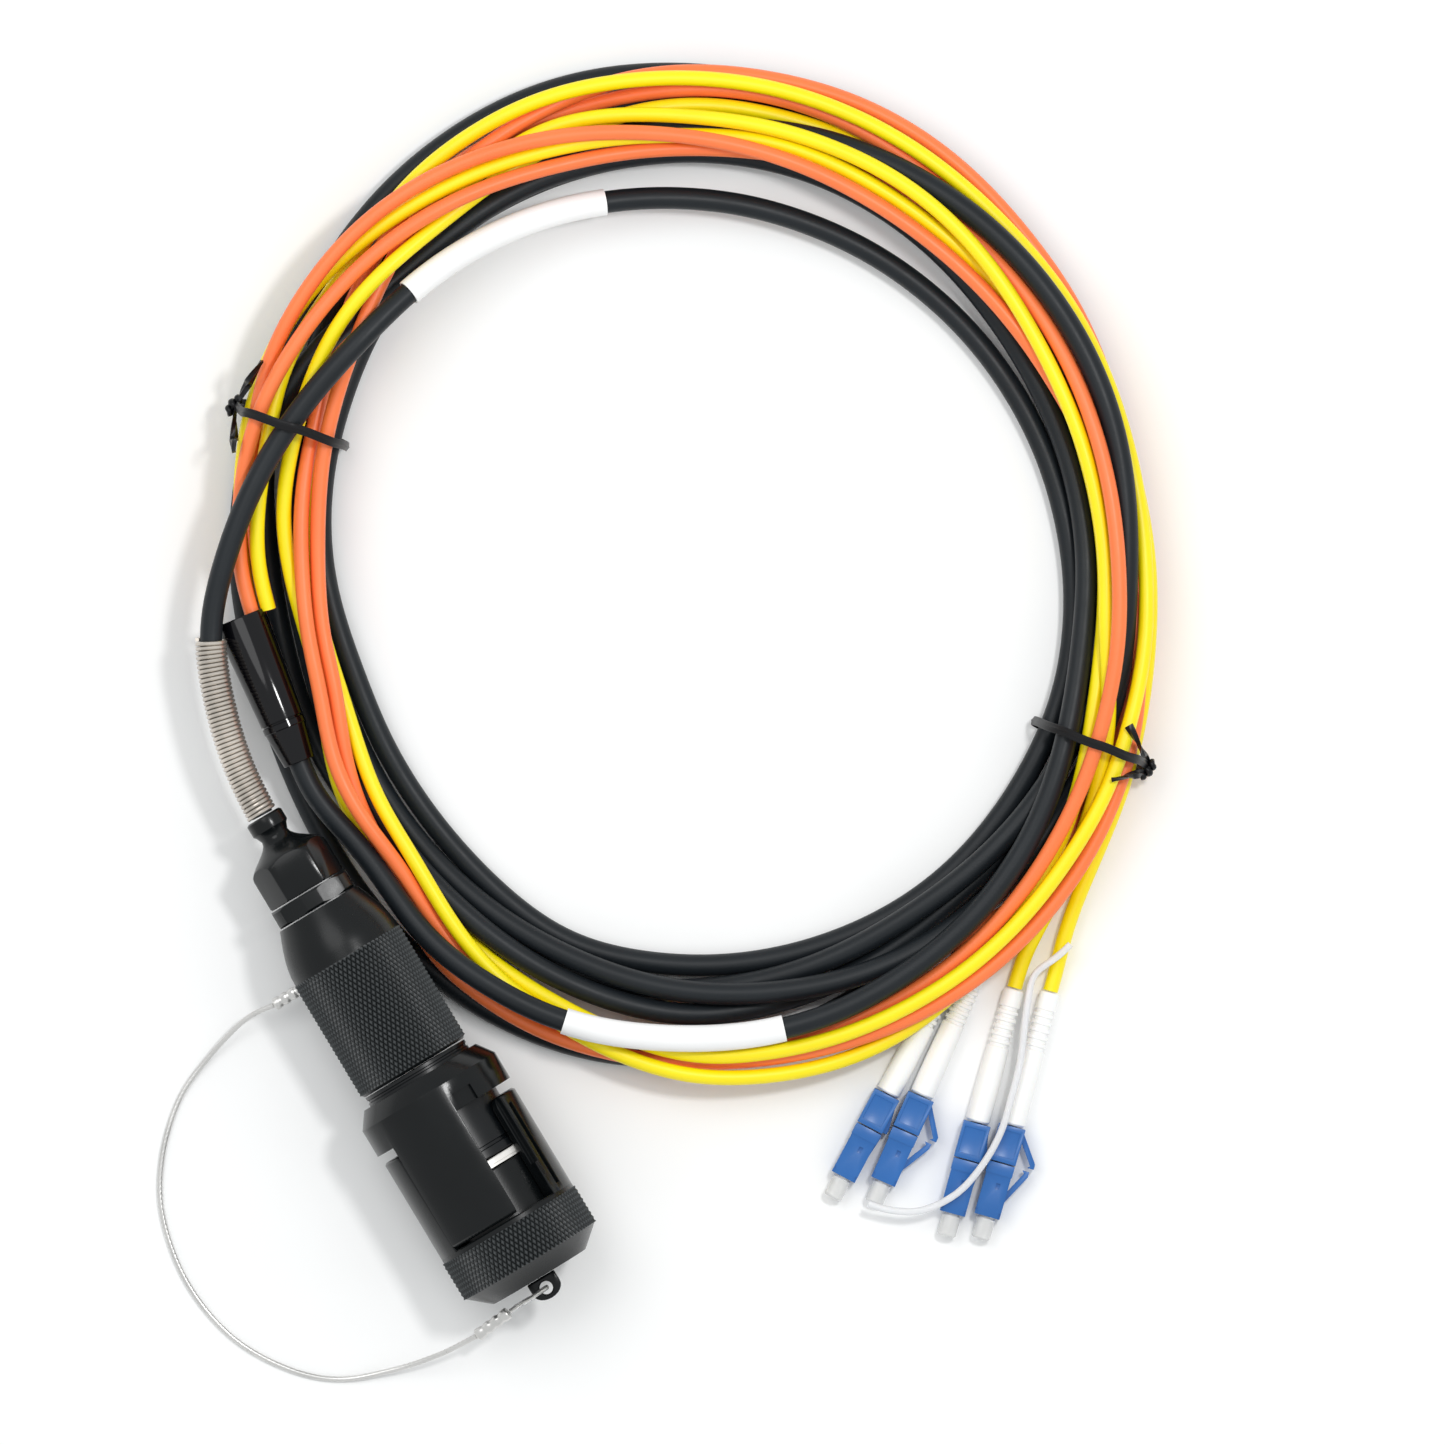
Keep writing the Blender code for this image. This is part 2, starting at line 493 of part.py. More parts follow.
def box(name, size, centre, material, parent, bevel=0.0, collection=None):
    work = bmesh.new()
    bmesh.ops.create_cube(work, size=1.0)
    bmesh.ops.scale(work, verts=work.verts, vec=size)
    bmesh.ops.translate(work, verts=work.verts, vec=centre)
    mesh = bpy.data.meshes.new(name)
    work.to_mesh(mesh)
    work.free()
    obj = add_object(name, mesh, material, parent, collection)
    if bevel:
        edge = obj.modifiers.new("Edges", "BEVEL")
        edge.width = bevel
        edge.segments = 1
    return obj


def rod(name, radius, low, high, parent, segments=24, collection=None, material=None):
    """An upright cylinder on the parent's axis."""
    work = bmesh.new()
    bmesh.ops.create_cone(work, cap_ends=True, segments=segments, radius1=radius, radius2=radius,
                          depth=high - low)
    bmesh.ops.translate(work, verts=work.verts, vec=(0, 0, (low + high) / 2))
    mesh = bpy.data.meshes.new(name)
    work.to_mesh(mesh)
    work.free()
    return add_object(name, mesh, material, parent, collection)


def sector_cutter(name, inner_r, outer_r, span_deg, low, high, parent):
    """A hidden ring sector; its degrees count from the parent's +Y towards its +X."""
    start, end = span_deg
    steps = max(2, round((end - start) / 12))
    angles = [math.radians(start + (end - start) * i / steps) for i in range(steps + 1)]
    outline = [(math.sin(a) * outer_r, math.cos(a) * outer_r) for a in angles]
    outline += [(math.sin(a) * inner_r, math.cos(a) * inner_r) for a in reversed(angles)]
    return prism(name, outline, low, high, parent=parent)


def axis_empty(name, start, direction):
    """An empty whose +Z runs along the direction in plan, and whose +Y is up."""
    ahead = direction.normalized()
    up = Vector((0, 0, 1))
    side = up.cross(ahead)
    empty = bpy.data.objects.new(name, None)
    parts.objects.link(empty)
    turn = Matrix((side, up, ahead)).transposed().to_4x4()
    empty.matrix_world = Matrix.Translation(start) @ turn
    return empty


def add_strands(coil):
    """The trunk and the four legs, and the sleeves that the trunk runs through."""
    colours = {"trunk_cable": black_jacket, "leg_yellow_1": yellow_jacket, "leg_yellow_2": yellow_jacket,
               "leg_orange_1": orange_jacket, "leg_orange_2": orange_jacket}
    for name, (angles, radii, heights) in coil.items():
        points = [from_polar(*row) for row in zip(angles, radii, heights)]
        if name == "trunk_cable":
            points = spring_points() + points
            points += [breakout_point(-FIT_GAP - NOSE_STRAIGHT), breakout_point(-FIT_GAP)]
        else:
            rear_px, nose_px, _, straight = PLUGS[LEG_PLUG[name]]
            rear, nose = from_px(*rear_px, BOOT_FRONT_R), from_px(*nose_px, BOOT_FRONT_R)
            back = (rear - nose).normalized()
            boot_end = rear + back * (BOOT_LENGTH + 2 * FIT_GAP)
            points = [leg_start(name)] + points + [boot_end + back * straight, boot_end]
        tube(name, points, STRANDS[name][3], colours[name])
    trunk_row = coil["trunk_cable"]
    for name, span in (("label_sleeve_1", LABEL_1_SPAN_DEG), ("label_sleeve_2", LABEL_2_SPAN_DEG)):
        tube(name, trunk_stretch(trunk_row, span), LABEL_OUTER_D, white_label, 4, LABEL_WALL)


def trunk_stretch(trunk_row, span):
    angles, radii, heights = trunk_row
    inside = [row for row in zip(angles, radii, heights) if span[0] < row[0] < span[1]]
    ends = [(angle, np.interp(angle, angles, radii), np.interp(angle, angles, heights)) for angle in span]
    points = [from_polar(*row) for row in [ends[0]] + inside + [ends[1]]]
    lower = max(row for row in zip(angles, radii, heights) if row[0] <= span[0])
    upper = min(row for row in zip(angles, radii, heights) if row[0] >= span[1])
    points[0] = on_chord(from_polar(*lower), points[1], points[0])
    points[-1] = on_chord(points[-2], from_polar(*upper), points[-1])
    return points


def on_chord(start, end, near):
    along = (end - start).normalized()
    return start + along * (near - start).dot(along)


def spring_points():
    """The spring's slightly bowed axis, from the gland to its free end."""
    gland = from_px(*CONNECTOR_START_PX, RING_R)
    route = [gland - connector_ahead() * FIT_GAP, gland - connector_ahead() * 7 * MM,
             from_px(230.0, 738.0, RING_R), from_px(218.0, 690.0, RING_R), from_px(211.0, 641.0, RING_R)]
    return smooth_points(route, 2.2 * TRUNK_D)


def connector_ahead():
    return Vector((CONNECTOR_DIRECTION[0], -CONNECTOR_DIRECTION[1], 0)).normalized()


def breakout_point(distance):
    nose = from_px(*BREAKOUT_NOSE_PX, BREAKOUT_HEIGHT)
    leg_end = from_px(*BREAKOUT_LEG_END_PX, BREAKOUT_HEIGHT)
    return nose + (leg_end - nose).normalized() * distance


def breakout_length():
    return (Vector(BREAKOUT_LEG_END_PX) - Vector(BREAKOUT_NOSE_PX)).length * PX


def leg_start(name):
    """The four legs leave the breakout's wide end in a square."""
    ahead = (breakout_point(1.0) - breakout_point(0.0)).normalized()
    side = Vector((0, 0, 1)).cross(ahead)
    across = {"leg_yellow_1": (-1, 1), "leg_orange_1": (1, 1), "leg_yellow_2": (1, -1),
              "leg_orange_2": (-1, -1)}[name]
    offset = side * across[0] + Vector((0, 0, across[1]))
    return breakout_point(breakout_length() + FIT_GAP) + offset * LEG_SPACING / 2


def add_spring():
    tube("spring_relief", spring_points(), SPRING_OUTER_D, spring_steel, 3, SPRING_WALL)


def add_breakout():
    ahead = breakout_point(1.0) - breakout_point(0.0)
    axis = axis_empty("breakout_axis", breakout_point(0.0), ahead)
    turned("breakout_nose", [(0, NOSE_LENGTH), (NOSE_BASE_R, NOSE_LENGTH), (NOSE_TIP_R, 0), (0, 0)],
           gloss_black, axis, 20)
    low = NOSE_LENGTH + FIT_GAP
    high = breakout_length()
    rounding = 0.5 * MM
    turned("breakout_body", [(0, high), (BREAKOUT_LARGE_R - rounding, high),
                             (BREAKOUT_LARGE_R, high - rounding), (BREAKOUT_SMALL_R, low), (0, low)],
           gloss_black, axis, 20)


def add_connector():
    """The field connector, from the gland at the spring to the dust cap's lug."""
    start = from_px(*CONNECTOR_START_PX, RING_R)
    axis = axis_empty("connector_axis", start, connector_ahead())
    waist = NECK_LENGTH + WAIST_LENGTH
    nut_low = waist + FLARE_LENGTH
    nut_high = nut_low + NUT_LENGTH
    nut = turned("gland_nut", [(0, nut_high), (NUT_R, nut_high), (NUT_R, nut_low), (WAIST_R, waist),
                               (NECK_R, NECK_LENGTH), (NECK_R, 0), (0, 0)], black_anodised, axis)
    nut_hexagon = rod("nut_hexagon", NUT_FLAT / math.cos(math.pi / 6), -MM, nut_high + MM, axis, 6, cutters)
    nut_hexagon.rotation_euler.z = math.pi / 6
    boolean(nut, hide_cutter(nut_hexagon), "INTERSECT")

    band_low = nut_high + FIT_GAP
    band_high = band_low + BAND_LENGTH
    band = rod("backshell_band", BAND_R, band_low, band_high, axis, TURN_SEGMENTS, None, black_anodised)
    hexagon = rod("band_hexagon", BAND_FLATS / 2 / math.cos(math.pi / 6), band_low - MM, band_high + MM,
                  axis, 6, cutters)
    boolean(band, hide_cutter(hexagon), "INTERSECT")

    grip_low = band_high + FIT_GAP
    barrel_low = grip_low + TAPER_LENGTH
    barrel_high = barrel_low + BARREL_LENGTH
    turned("grip_barrel", [(0, barrel_high), (BARREL_R - BARREL_CHAMFER, barrel_high),
                           (BARREL_R, barrel_high - BARREL_CHAMFER), (BARREL_R, barrel_low + BARREL_CHAMFER),
                           (BARREL_R - BARREL_CHAMFER, barrel_low), (BAND_R, grip_low), (0, grip_low)],
           black_anodised, axis)

    collar_low = barrel_high + FIT_GAP
    ring_low = collar_low + COLLAR_LENGTH
    ring_high = ring_low + RING_LENGTH
    jaw_high = ring_high + JAW_LENGTH
    insert_high = ring_high + INSERT_REACH
    turned("plug_insert", [(0, insert_high), (INSERT_R, insert_high), (INSERT_R, ring_low),
                           (INSERT_R - COLLAR_STEP, ring_low), (INSERT_R - COLLAR_STEP, collar_low),
                           (0, collar_low)], black_anodised, axis)
    ring = turned("coupling_ring", [(RING_R, jaw_high), (RING_R, ring_low + RING_CHAMFER_LENGTH),
                                    (RING_CHAMFER_R, ring_low),
                                    (INSERT_R + FIT_GAP, ring_low), (INSERT_R + FIT_GAP, ring_high),
                                    (JAW_BORE_R, ring_high), (JAW_BORE_R, jaw_high)],
                  black_anodised, axis, closed=True)
    seal_low = insert_high + FIT_GAP
    seal_high = seal_low + SEAL_LENGTH
    rod("interface_seal", INSERT_R, seal_low, seal_high, axis, TURN_SEGMENTS, None, bright_metal)

    core_low = seal_high + FIT_GAP
    cap_jaw_low = ring_high + JAW_CLEAR
    base_low = jaw_high + JAW_CLEAR
    base_high = base_low + CAP_RING_LENGTH
    shoulder = base_high + CAP_SHOULDER_LENGTH
    cap_high = shoulder + CAP_END_LENGTH
    cap = turned("dust_cap", [(0, cap_high), (CAP_END_R, cap_high), (CAP_SHOULDER_R, shoulder),
                              (RING_R, base_high), (RING_R, cap_jaw_low),
                              (JAW_BORE_R, cap_jaw_low), (JAW_BORE_R, base_low),
                              (INSERT_R, base_low), (INSERT_R, core_low), (0, core_low)],
                 black_anodised, axis)
    for turn in (0, 180):
        plug_gap = (PLUG_JAW_DEG[1] + turn, PLUG_JAW_DEG[0] + 180 + turn)
        cut = sector_cutter(f"ring_window_{turn}", INSERT_R - COLLAR_STEP, 2 * RING_R, plug_gap,
                            ring_high + WINDOW_STEP, jaw_high + MM, axis)
        boolean(ring, cut)
        cap_gap = (CAP_JAW_DEG[1] - 180 + turn, CAP_JAW_DEG[0] + turn)
        cut = sector_cutter(f"cap_window_{turn}", (INSERT_R + JAW_BORE_R) / 2, 2 * RING_R, cap_gap,
                            cap_jaw_low - MM, base_low - WINDOW_STEP, axis)
        boolean(cap, cut)

    lug_low = cap_high + FIT_GAP
    lug = box("cap_lug", (LUG_WIDTH, LUG_THICK, LUG_LENGTH), (0, 0, lug_low + LUG_LENGTH / 2),
              black_plastic, axis, 0.5 * MM)
    hole = rod("lug_hole", LUG_HOLE_R, -LUG_THICK, LUG_THICK, None, 16, cutters)
    hole.parent = axis
    hole.matrix_parent_inverse = Matrix.Identity(4)
    hole.rotation_euler = (math.pi / 2, 0, 0)
    hole.location = (0, 0, lug_low + LUG_LENGTH / 2)
    boolean(lug, hide_cutter(hole))
    return start + connector_ahead() * (lug_low + LUG_LENGTH / 2)


def add_lanyard(lug_centre):
    """Steel rope from the dust cap's lug, round on the floor, to the grip barrel's underside."""
    cap_end = (from_px(509, 1311, 12.5 * MM), from_px(478, 1334, 9.5 * MM))
    body_end = barrel_ferrule()
    for name, (start, end) in (("lanyard_ferrule_cap", cap_end), ("lanyard_ferrule_body", body_end)):
        tube(name, [start, end], FERRULE_D, bright_metal, 2)
    away = (cap_end[0] - cap_end[1]).normalized()
    mouth = cap_end[0] + away * 2 * FIT_GAP
    up = Vector((0, 0, 1))
    back = (mouth - lug_centre) * Vector((1, 1, 0))
    back.normalize()
    rim = LUG_THICK / 2 + LOOP_D
    upper = [mouth, mouth + away * 2 * MM, lug_centre + back * 4.6 * MM, lug_centre + back * 1.2 * MM,
             lug_centre]
    rise = [0.8 * MM, 0.8 * MM, rim - 0.3 * MM, rim, rim - 0.7 * MM]
    loop = [point + up * high for point, high in zip(upper, rise)] + [lug_centre]
    loop += [point - up * high for point, high in zip(upper[::-1], rise[::-1])]
    tube("lanyard_loop", smooth_points(loop, 1.2 * MM), LOOP_D, clear_sleeve)
    floor = ROPE_D / 2
    rope = [cap_end[1] - away * FIT_GAP, from_px(439, 1354, 5.5 * MM), from_px(391, 1370, 2.2 * MM),
            from_px(337, 1379, floor), from_px(284, 1367, floor), from_px(230, 1335, floor),
            from_px(187, 1282, floor), from_px(163, 1217, floor), from_px(162, 1159, floor),
            from_px(179, 1100, floor), from_px(209, 1057, 1.6 * MM), from_px(246, 1019, 4.6 * MM),
            body_end[0] - (body_end[1] - body_end[0]).normalized() * FIT_GAP]
    points = smooth_points(rope, 4 * MM)
    for point in points:
        point.z = max(point.z, floor)
    tube("lanyard_rope", points, ROPE_D, bright_metal)


def barrel_ferrule():
    """Outer and inner end of the ferrule that stands beside the grip barrel."""
    ahead = connector_ahead()
    side = Vector((0, 0, 1)).cross(ahead)
    around = math.radians(FERRULE_AROUND_DEG)
    reach = BARREL_R + FERRULE_STAND_OFF
    inner = from_px(*CONNECTOR_START_PX, RING_R) + ahead * FERRULE_ALONG
    inner += side * math.sin(around) * reach + Vector((0, 0, math.cos(around) * reach))
    flat = math.sqrt(FERRULE_LENGTH ** 2 - FERRULE_DROP ** 2)
    return inner - side * flat - Vector((0, 0, FERRULE_DROP)), inner


def latch_outline(rise, free_end, root, side):
    """A thin bent arm beside the plug: root on the body, free end at the latch's highest point."""
    edge = side - 0.4 * MM
    tip = side + rise
    lean = math.copysign(LATCH_WALL, root - free_end)
    return [(edge, root), (tip, free_end + lean), (tip, free_end), (tip - LATCH_WALL, free_end),
            (tip - LATCH_WALL, free_end + lean), (edge, root - 2.2 * lean)]


def add_plug(letter):
    """One small fibre plug lying on its side with its latch in the picture's plane."""
    rear_px, nose_px, rise, _ = PLUGS[letter]
    height = PLUG_REAR_HEIGHT / 2
    rear, nose = from_px(*rear_px, height), from_px(*nose_px, height)
    axis = axis_empty(f"plug_axis_{letter}", rear, nose - rear)
    front_low = PLUG_REAR_LENGTH + FIT_GAP
    front_high = front_low + PLUG_FRONT_LENGTH
    rear_block = box(f"plug_shell_{letter}", (PLUG_REAR_WIDTH, PLUG_REAR_HEIGHT, PLUG_REAR_LENGTH),
                     (0, 0, PLUG_REAR_LENGTH / 2), plug_blue, axis)
    arm = latch_outline(rise, PLUG_REAR_LENGTH - LATCH_TIP_BACK, GUARD_ROOT, PLUG_REAR_WIDTH / 2)
    guard = prism(f"guard_{letter}", arm, -LATCH_WIDTH / 2, LATCH_WIDTH / 2, "XZ", axis)
    boolean(rear_block, guard, "UNION")
    front = box(f"plug_housing_{letter}", (PLUG_FRONT_WIDTH, PLUG_FRONT_HEIGHT, PLUG_FRONT_LENGTH),
                (0, 0, (front_low + front_high) / 2), plug_blue, axis)
    lever = latch_outline(rise - LATCH_WALL / 2, front_low + LEVER_TIP_AHEAD, front_high - LEVER_ROOT,
                          PLUG_FRONT_WIDTH / 2)
    boolean(front, prism(f"latch_{letter}", lever, -LATCH_WIDTH / 2, LATCH_WIDTH / 2, "XZ", axis), "UNION")
    bore = rod(f"plug_bore_{letter}", PLUG_BORE_R, front_high - PLUG_BORE_DEPTH, front_high + MM, axis, 16,
               cutters)
    boolean(front, hide_cutter(bore))

    boot_high = -FIT_GAP
    turned(f"plug_boot_{letter}", [(0, boot_high), (BOOT_FRONT_R, boot_high), (BOOT_FRONT_R, -BOOT_COLLAR),
                                   (BOOT_REAR_R, -BOOT_LENGTH - FIT_GAP), (0, -BOOT_LENGTH - FIT_GAP)],
           white_plastic, axis, 16)

    pin_low = front_high - PLUG_BORE_DEPTH + FIT_GAP
    pin_high = front_high + PIN_STICKS_OUT
    rod(f"plug_pin_{letter}", PIN_R, pin_low, pin_high, axis, 10, None, white_ceramic)
    cap_low = pin_low + FIT_GAP
    head_low = front_high + FIT_GAP
    head_high = head_low + PIN_CAP_HEAD_LENGTH
    turned(f"plug_cap_{letter}", [(0, head_high), (PIN_CAP_HEAD_R, head_high), (PIN_CAP_HEAD_R, head_low),
                                  (PIN_CAP_R, head_low), (PIN_CAP_R, cap_low), (PIN_CAP_BORE_R, cap_low),
                                  (PIN_CAP_BORE_R, pin_high + FIT_GAP), (0, pin_high + FIT_GAP)],
           clear_plastic, axis, 16)


def coil_discs(coil, angle_deg):
    """Where each strand crosses an angle: (radius, height, strand radius)."""
    discs = []
    for name, (angles, radii, heights) in coil.items():
        around = angle_deg
        while around <= angles[-1]:
            if around >= angles[0]:
                discs.append((np.interp(around, angles, radii), np.interp(around, angles, heights),
                              STRANDS[name][3] / 2))
            around += 360
    return discs


def tie_band(coil, angle_deg):
    """A taut closed band round the bundle, counted from its outer side up and over."""
    discs = coil_discs(coil, angle_deg)
    clear = TIE_D / 2 + 3 * STRAND_GAP
    band = []
    for i in range(21):
        angle = 2 * math.pi * i / 20
        out, up = math.cos(angle), math.sin(angle)
        radius, height, size = max(discs, key=lambda disc: disc[0] * out + disc[1] * up + disc[2])
        band.append((radius + (size + clear) * out, max(height + (size + clear) * up, TIE_D / 2)))
    return band


def tail_points(coil, free_end, knot):
    """A tie's tail from its free end (degrees, px) to the knot (degrees, radius, height), lying on the
    strands."""
    steps = 8
    points = []
    for i in range(steps):
        angle = free_end[0] + (knot[0] - free_end[0]) * i / steps
        radius = free_end[1] * PX + (knot[1] - free_end[1] * PX) * i / steps
        rest = knot[2]
        for disc_radius, height, size in coil_discs(coil, angle):
            reach = size + TIE_D / 2 + 3 * STRAND_GAP
            aside = abs(disc_radius - radius)
            if aside < reach:
                rest = max(rest, height + math.sqrt(reach ** 2 - aside ** 2))
        points.append(from_polar(angle, radius, rest))
    return points


def add_tie(name, coil, angle_deg, free_ends):
    """One twist tie: a band round the bundle, whose two ends leave the knot as short tails."""
    band = tie_band(coil, angle_deg)
    lean = np.linspace(-0.6, 0.6, len(band))
    points = [from_polar(angle_deg + turn, *row) for turn, row in zip(lean, band)]
    first = tail_points(coil, free_ends[0], (angle_deg + lean[0], *band[0]))
    second = tail_points(coil, free_ends[1], (angle_deg + lean[-1], *band[-1]))
    tube(name, first + points + second[::-1], TIE_D, black_plastic)


def add_strap():
    """Thin clear strap, over the two right-hand plugs and round the noses of the other two."""
    over = PLUG_REAR_HEIGHT + STRAP_D / 2 + 0.4 * MM
    route = [from_px(1070, 944, 6.6 * MM), from_px(1056, 957, 6.6 * MM),
             from_px(1034, 975, 6.4 * MM), from_px(1026, 1010, over), from_px(1020, 1060, over),
             from_px(1010, 1100, over), from_px(1001, 1130, over), from_px(985, 1160, over),
             from_px(962, 1188, over), from_px(937, 1204, 6.6 * MM), from_px(912, 1211, 6.4 * MM),
             from_px(884, 1208, 6.4 * MM), from_px(868, 1203, 6.4 * MM)]
    tube("clear_strap", smooth_points(route, 3.4 * MM), STRAP_D, clear_plastic)


for old in list(bpy.data.objects):
    bpy.data.objects.remove(old, do_unlink=True)
parts = bpy.data.collections.new("fibre_breakout_cable")
cutters = bpy.data.collections.new("cutters")
for group in (parts, cutters):
    bpy.context.scene.collection.children.link(group)

black_jacket = make_material("black_jacket", (0.02, 0.021, 0.024), 0.55)
yellow_jacket = make_material("yellow_jacket", (0.95, 0.78, 0.0), 0.45)
orange_jacket = make_material("orange_jacket", (0.93, 0.28, 0.06), 0.45)
white_label = make_material("white_label", (0.9, 0.9, 0.9), 0.5)
black_anodised = make_material("black_anodised", (0.012, 0.014, 0.015), 0.32, 0.6)
black_plastic = make_material("black_plastic", (0.012, 0.012, 0.013), 0.4)
gloss_black = make_material("gloss_black", (0.008, 0.008, 0.01), 0.15)
spring_steel = make_material("spring_steel", (0.62, 0.58, 0.52), 0.3, 1.0)
bright_metal = make_material("bright_metal", (0.75, 0.74, 0.72), 0.25, 1.0)
clear_sleeve = make_material("clear_sleeve", (0.6, 0.6, 0.58), 0.2)
plug_blue = make_material("plug_blue", (0.05, 0.22, 0.62), 0.35)
white_plastic = make_material("white_plastic", (0.9, 0.9, 0.88), 0.4)
white_ceramic = make_material("white_ceramic", (0.92, 0.92, 0.9), 0.15)
clear_plastic = make_material("clear_plastic", (0.85, 0.86, 0.86), 0.2)

coil_rows = settle_coil()
add_strands(coil_rows)
add_spring()
add_breakout()
add_lanyard(add_connector())
for plug_letter in PLUGS:
    add_plug(plug_letter)
add_tie("twist_tie_left", coil_rows, TIE_LEFT_DEG, ((285.0, 470), (296.5, 476)))
add_tie("twist_tie_right", coil_rows, TIE_RIGHT_DEG, ((109.0, 462), (116.0, 467)))
add_strap()
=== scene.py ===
"""The looks of the coiled fibre breakout cable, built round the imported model: smooth cords, a wound
spring, the knurled field connector with its dust cap and steel lanyard, and four small blue plugs.
Metres, +Z up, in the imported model's own frame."""

import json
import math

import bmesh
import bpy
import numpy as np
from mathutils import Matrix, Vector


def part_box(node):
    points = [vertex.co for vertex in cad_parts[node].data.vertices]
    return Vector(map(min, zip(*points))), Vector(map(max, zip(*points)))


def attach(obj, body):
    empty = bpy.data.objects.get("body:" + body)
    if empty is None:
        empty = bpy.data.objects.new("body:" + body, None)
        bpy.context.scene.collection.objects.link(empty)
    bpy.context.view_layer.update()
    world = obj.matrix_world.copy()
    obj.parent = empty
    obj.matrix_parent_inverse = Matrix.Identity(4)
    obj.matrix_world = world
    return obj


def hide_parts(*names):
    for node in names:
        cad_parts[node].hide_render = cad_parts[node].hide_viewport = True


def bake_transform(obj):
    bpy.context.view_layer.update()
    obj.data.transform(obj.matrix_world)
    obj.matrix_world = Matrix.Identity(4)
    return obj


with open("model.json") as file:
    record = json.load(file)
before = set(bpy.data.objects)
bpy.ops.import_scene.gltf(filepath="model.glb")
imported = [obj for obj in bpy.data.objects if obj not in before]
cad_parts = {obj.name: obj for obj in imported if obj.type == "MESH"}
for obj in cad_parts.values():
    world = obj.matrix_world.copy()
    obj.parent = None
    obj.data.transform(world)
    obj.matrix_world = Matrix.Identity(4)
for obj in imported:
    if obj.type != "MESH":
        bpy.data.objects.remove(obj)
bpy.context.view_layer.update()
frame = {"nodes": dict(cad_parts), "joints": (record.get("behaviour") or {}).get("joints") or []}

MM = 0.001
UP = Vector((0, 0, 1))
MERGE = 0.001 * MM
FIT_GAP = 0.3 * MM

# The photograph's frame: width in metres, and the point under the camera
VIEW_WIDTH = 325.1 * MM
VIEW_CENTRE = Vector((14.80, -0.05, 0)) * MM
LENS = 500.0
SENSOR = 36.0

# Cables
TRUNK_D = 5.0 * MM
LEG_D = 3.4 * MM
CORD_SPACING = 2.0 * MM
TRUNK_SIDES = 24
LEG_SIDES = 20
# How far along a cord its course is evened out
TRUNK_BLUR = 6.0 * MM
LEG_BLUR = 3.0 * MM
LEGS = {"leg_orange_1": "a", "leg_orange_2": "b", "leg_yellow_2": "c", "leg_yellow_1": "d"}

# Spring strain relief
WIRE_D = 0.92 * MM
WIRE_PITCH = 1.0 * MM
SPRING_OUTER_R = 3.6 * MM
SPRING_STEPS = 24

# Breakout and labels
BREAKOUT_FRONT_R = 5.0 * MM
BREAKOUT_END_R = 6.2 * MM
BREAKOUT_WALL = 0.6 * MM
CONE_TIP_R = 3.6 * MM
CONE_BASE_R = 4.9 * MM
LABEL_R = 2.98 * MM
LABEL_BORE_R = 2.62 * MM
LABEL_WAVE = 0.03 * MM
LABEL_SEAM = 0.04 * MM

# Field connector
NECK_R = 4.4 * MM
NECK_LENGTH = 3.6 * MM
WAIST_R = 3.3 * MM
WAIST_LENGTH = 1.4 * MM
FLARE_LENGTH = 6.7 * MM
FLARE_STEPS = 8
NUT_R = 9.4 * MM
NUT_FLAT = 8.2 * MM
BAND_R = 10.1 * MM
BAND_FLAT = 9.6 * MM
TAPER_LENGTH = 12.6 * MM
TAPER_STEPS = 6
BARREL_R = 13.7 * MM
INSERT_R = 13.4 * MM
COLLAR_STEP = 0.5 * MM
RING_R = 17.3 * MM
RING_CHAMFER_R = 14.6 * MM
RING_CHAMFER_LENGTH = 3.8 * MM
RING_LENGTH = 10.4 * MM
JAW_BORE_R = 14.0 * MM
CAP_RING_LENGTH = 10.6 * MM
CAP_SHOULDER_R = 12.6 * MM
CAP_SHOULDER_LENGTH = 3.6 * MM
CAP_END_R = 12.0 * MM
JAW_STAND_OFF = 2.2 * MM
CAP_JAW_R = 16.9 * MM
PLUG_JAW_DEG = (-49.0, 12.0)
CAP_JAW_DEG = (48.0, 130.0)
KNURL_DEPTH = 0.5 * MM
KNURL_WIDTH = 1.15 * MM
KNURL_ROW = 1.1 * MM
ROUND = 96

# Flat wire ties
TIE_WIDTH = 2.1 * MM
TIE_THICK = 0.45 * MM
TIE_RIDGE = 0.25 * MM
TIE_SPACING = 0.4 * MM
# Further than this from its loop's plane a tie is a tail, with a radian of twist to this length
TIE_TAIL = 1.2 * MM
TIE_TWIST = 5.0 * MM
KNOT_LENGTH = 4.2 * MM
KNOT_COIL_R = 0.8 * MM
KNOT_R = 0.75 * MM
KNOT_TURNS = 2.6
KNOT_STEPS = 60

# Lanyard and strap
CRIMP_R = 1.45 * MM
ROPE_D = 1.2 * MM
ROPE_LAY = 7.0 * MM
LOOP_WIRE_R = 0.3 * MM
LOOP_SLEEVE_R = 0.55 * MM
LOOP_BORE_R = 0.38 * MM
STRAP_D = 1.6 * MM

# Plugs
SHELL_WIDTH = 6.2 * MM
SHELL_HEIGHT = 5.6 * MM
HOUSING_WIDTH = 5.8 * MM
HOUSING_HEIGHT = 4.8 * MM
FERRULE_R = 0.625 * MM
RIB_COUNT = 6
RIB_PITCH = 1.7 * MM
RIB_DEPTH = 0.45 * MM
PIN_CAP_R = 2.1 * MM
PIN_CAP_BORE_R = 0.95 * MM
BOOT_FRONT_R = 2.75 * MM
BOOT_REAR_R = 2.3 * MM
LATCH_WIDTH = 2.6 * MM
LATCH_WALL = 1.2 * MM
LATCH_RISE = {"a": 1.0 * MM, "b": 4.2 * MM, "c": 1.0 * MM, "d": 4.2 * MM}

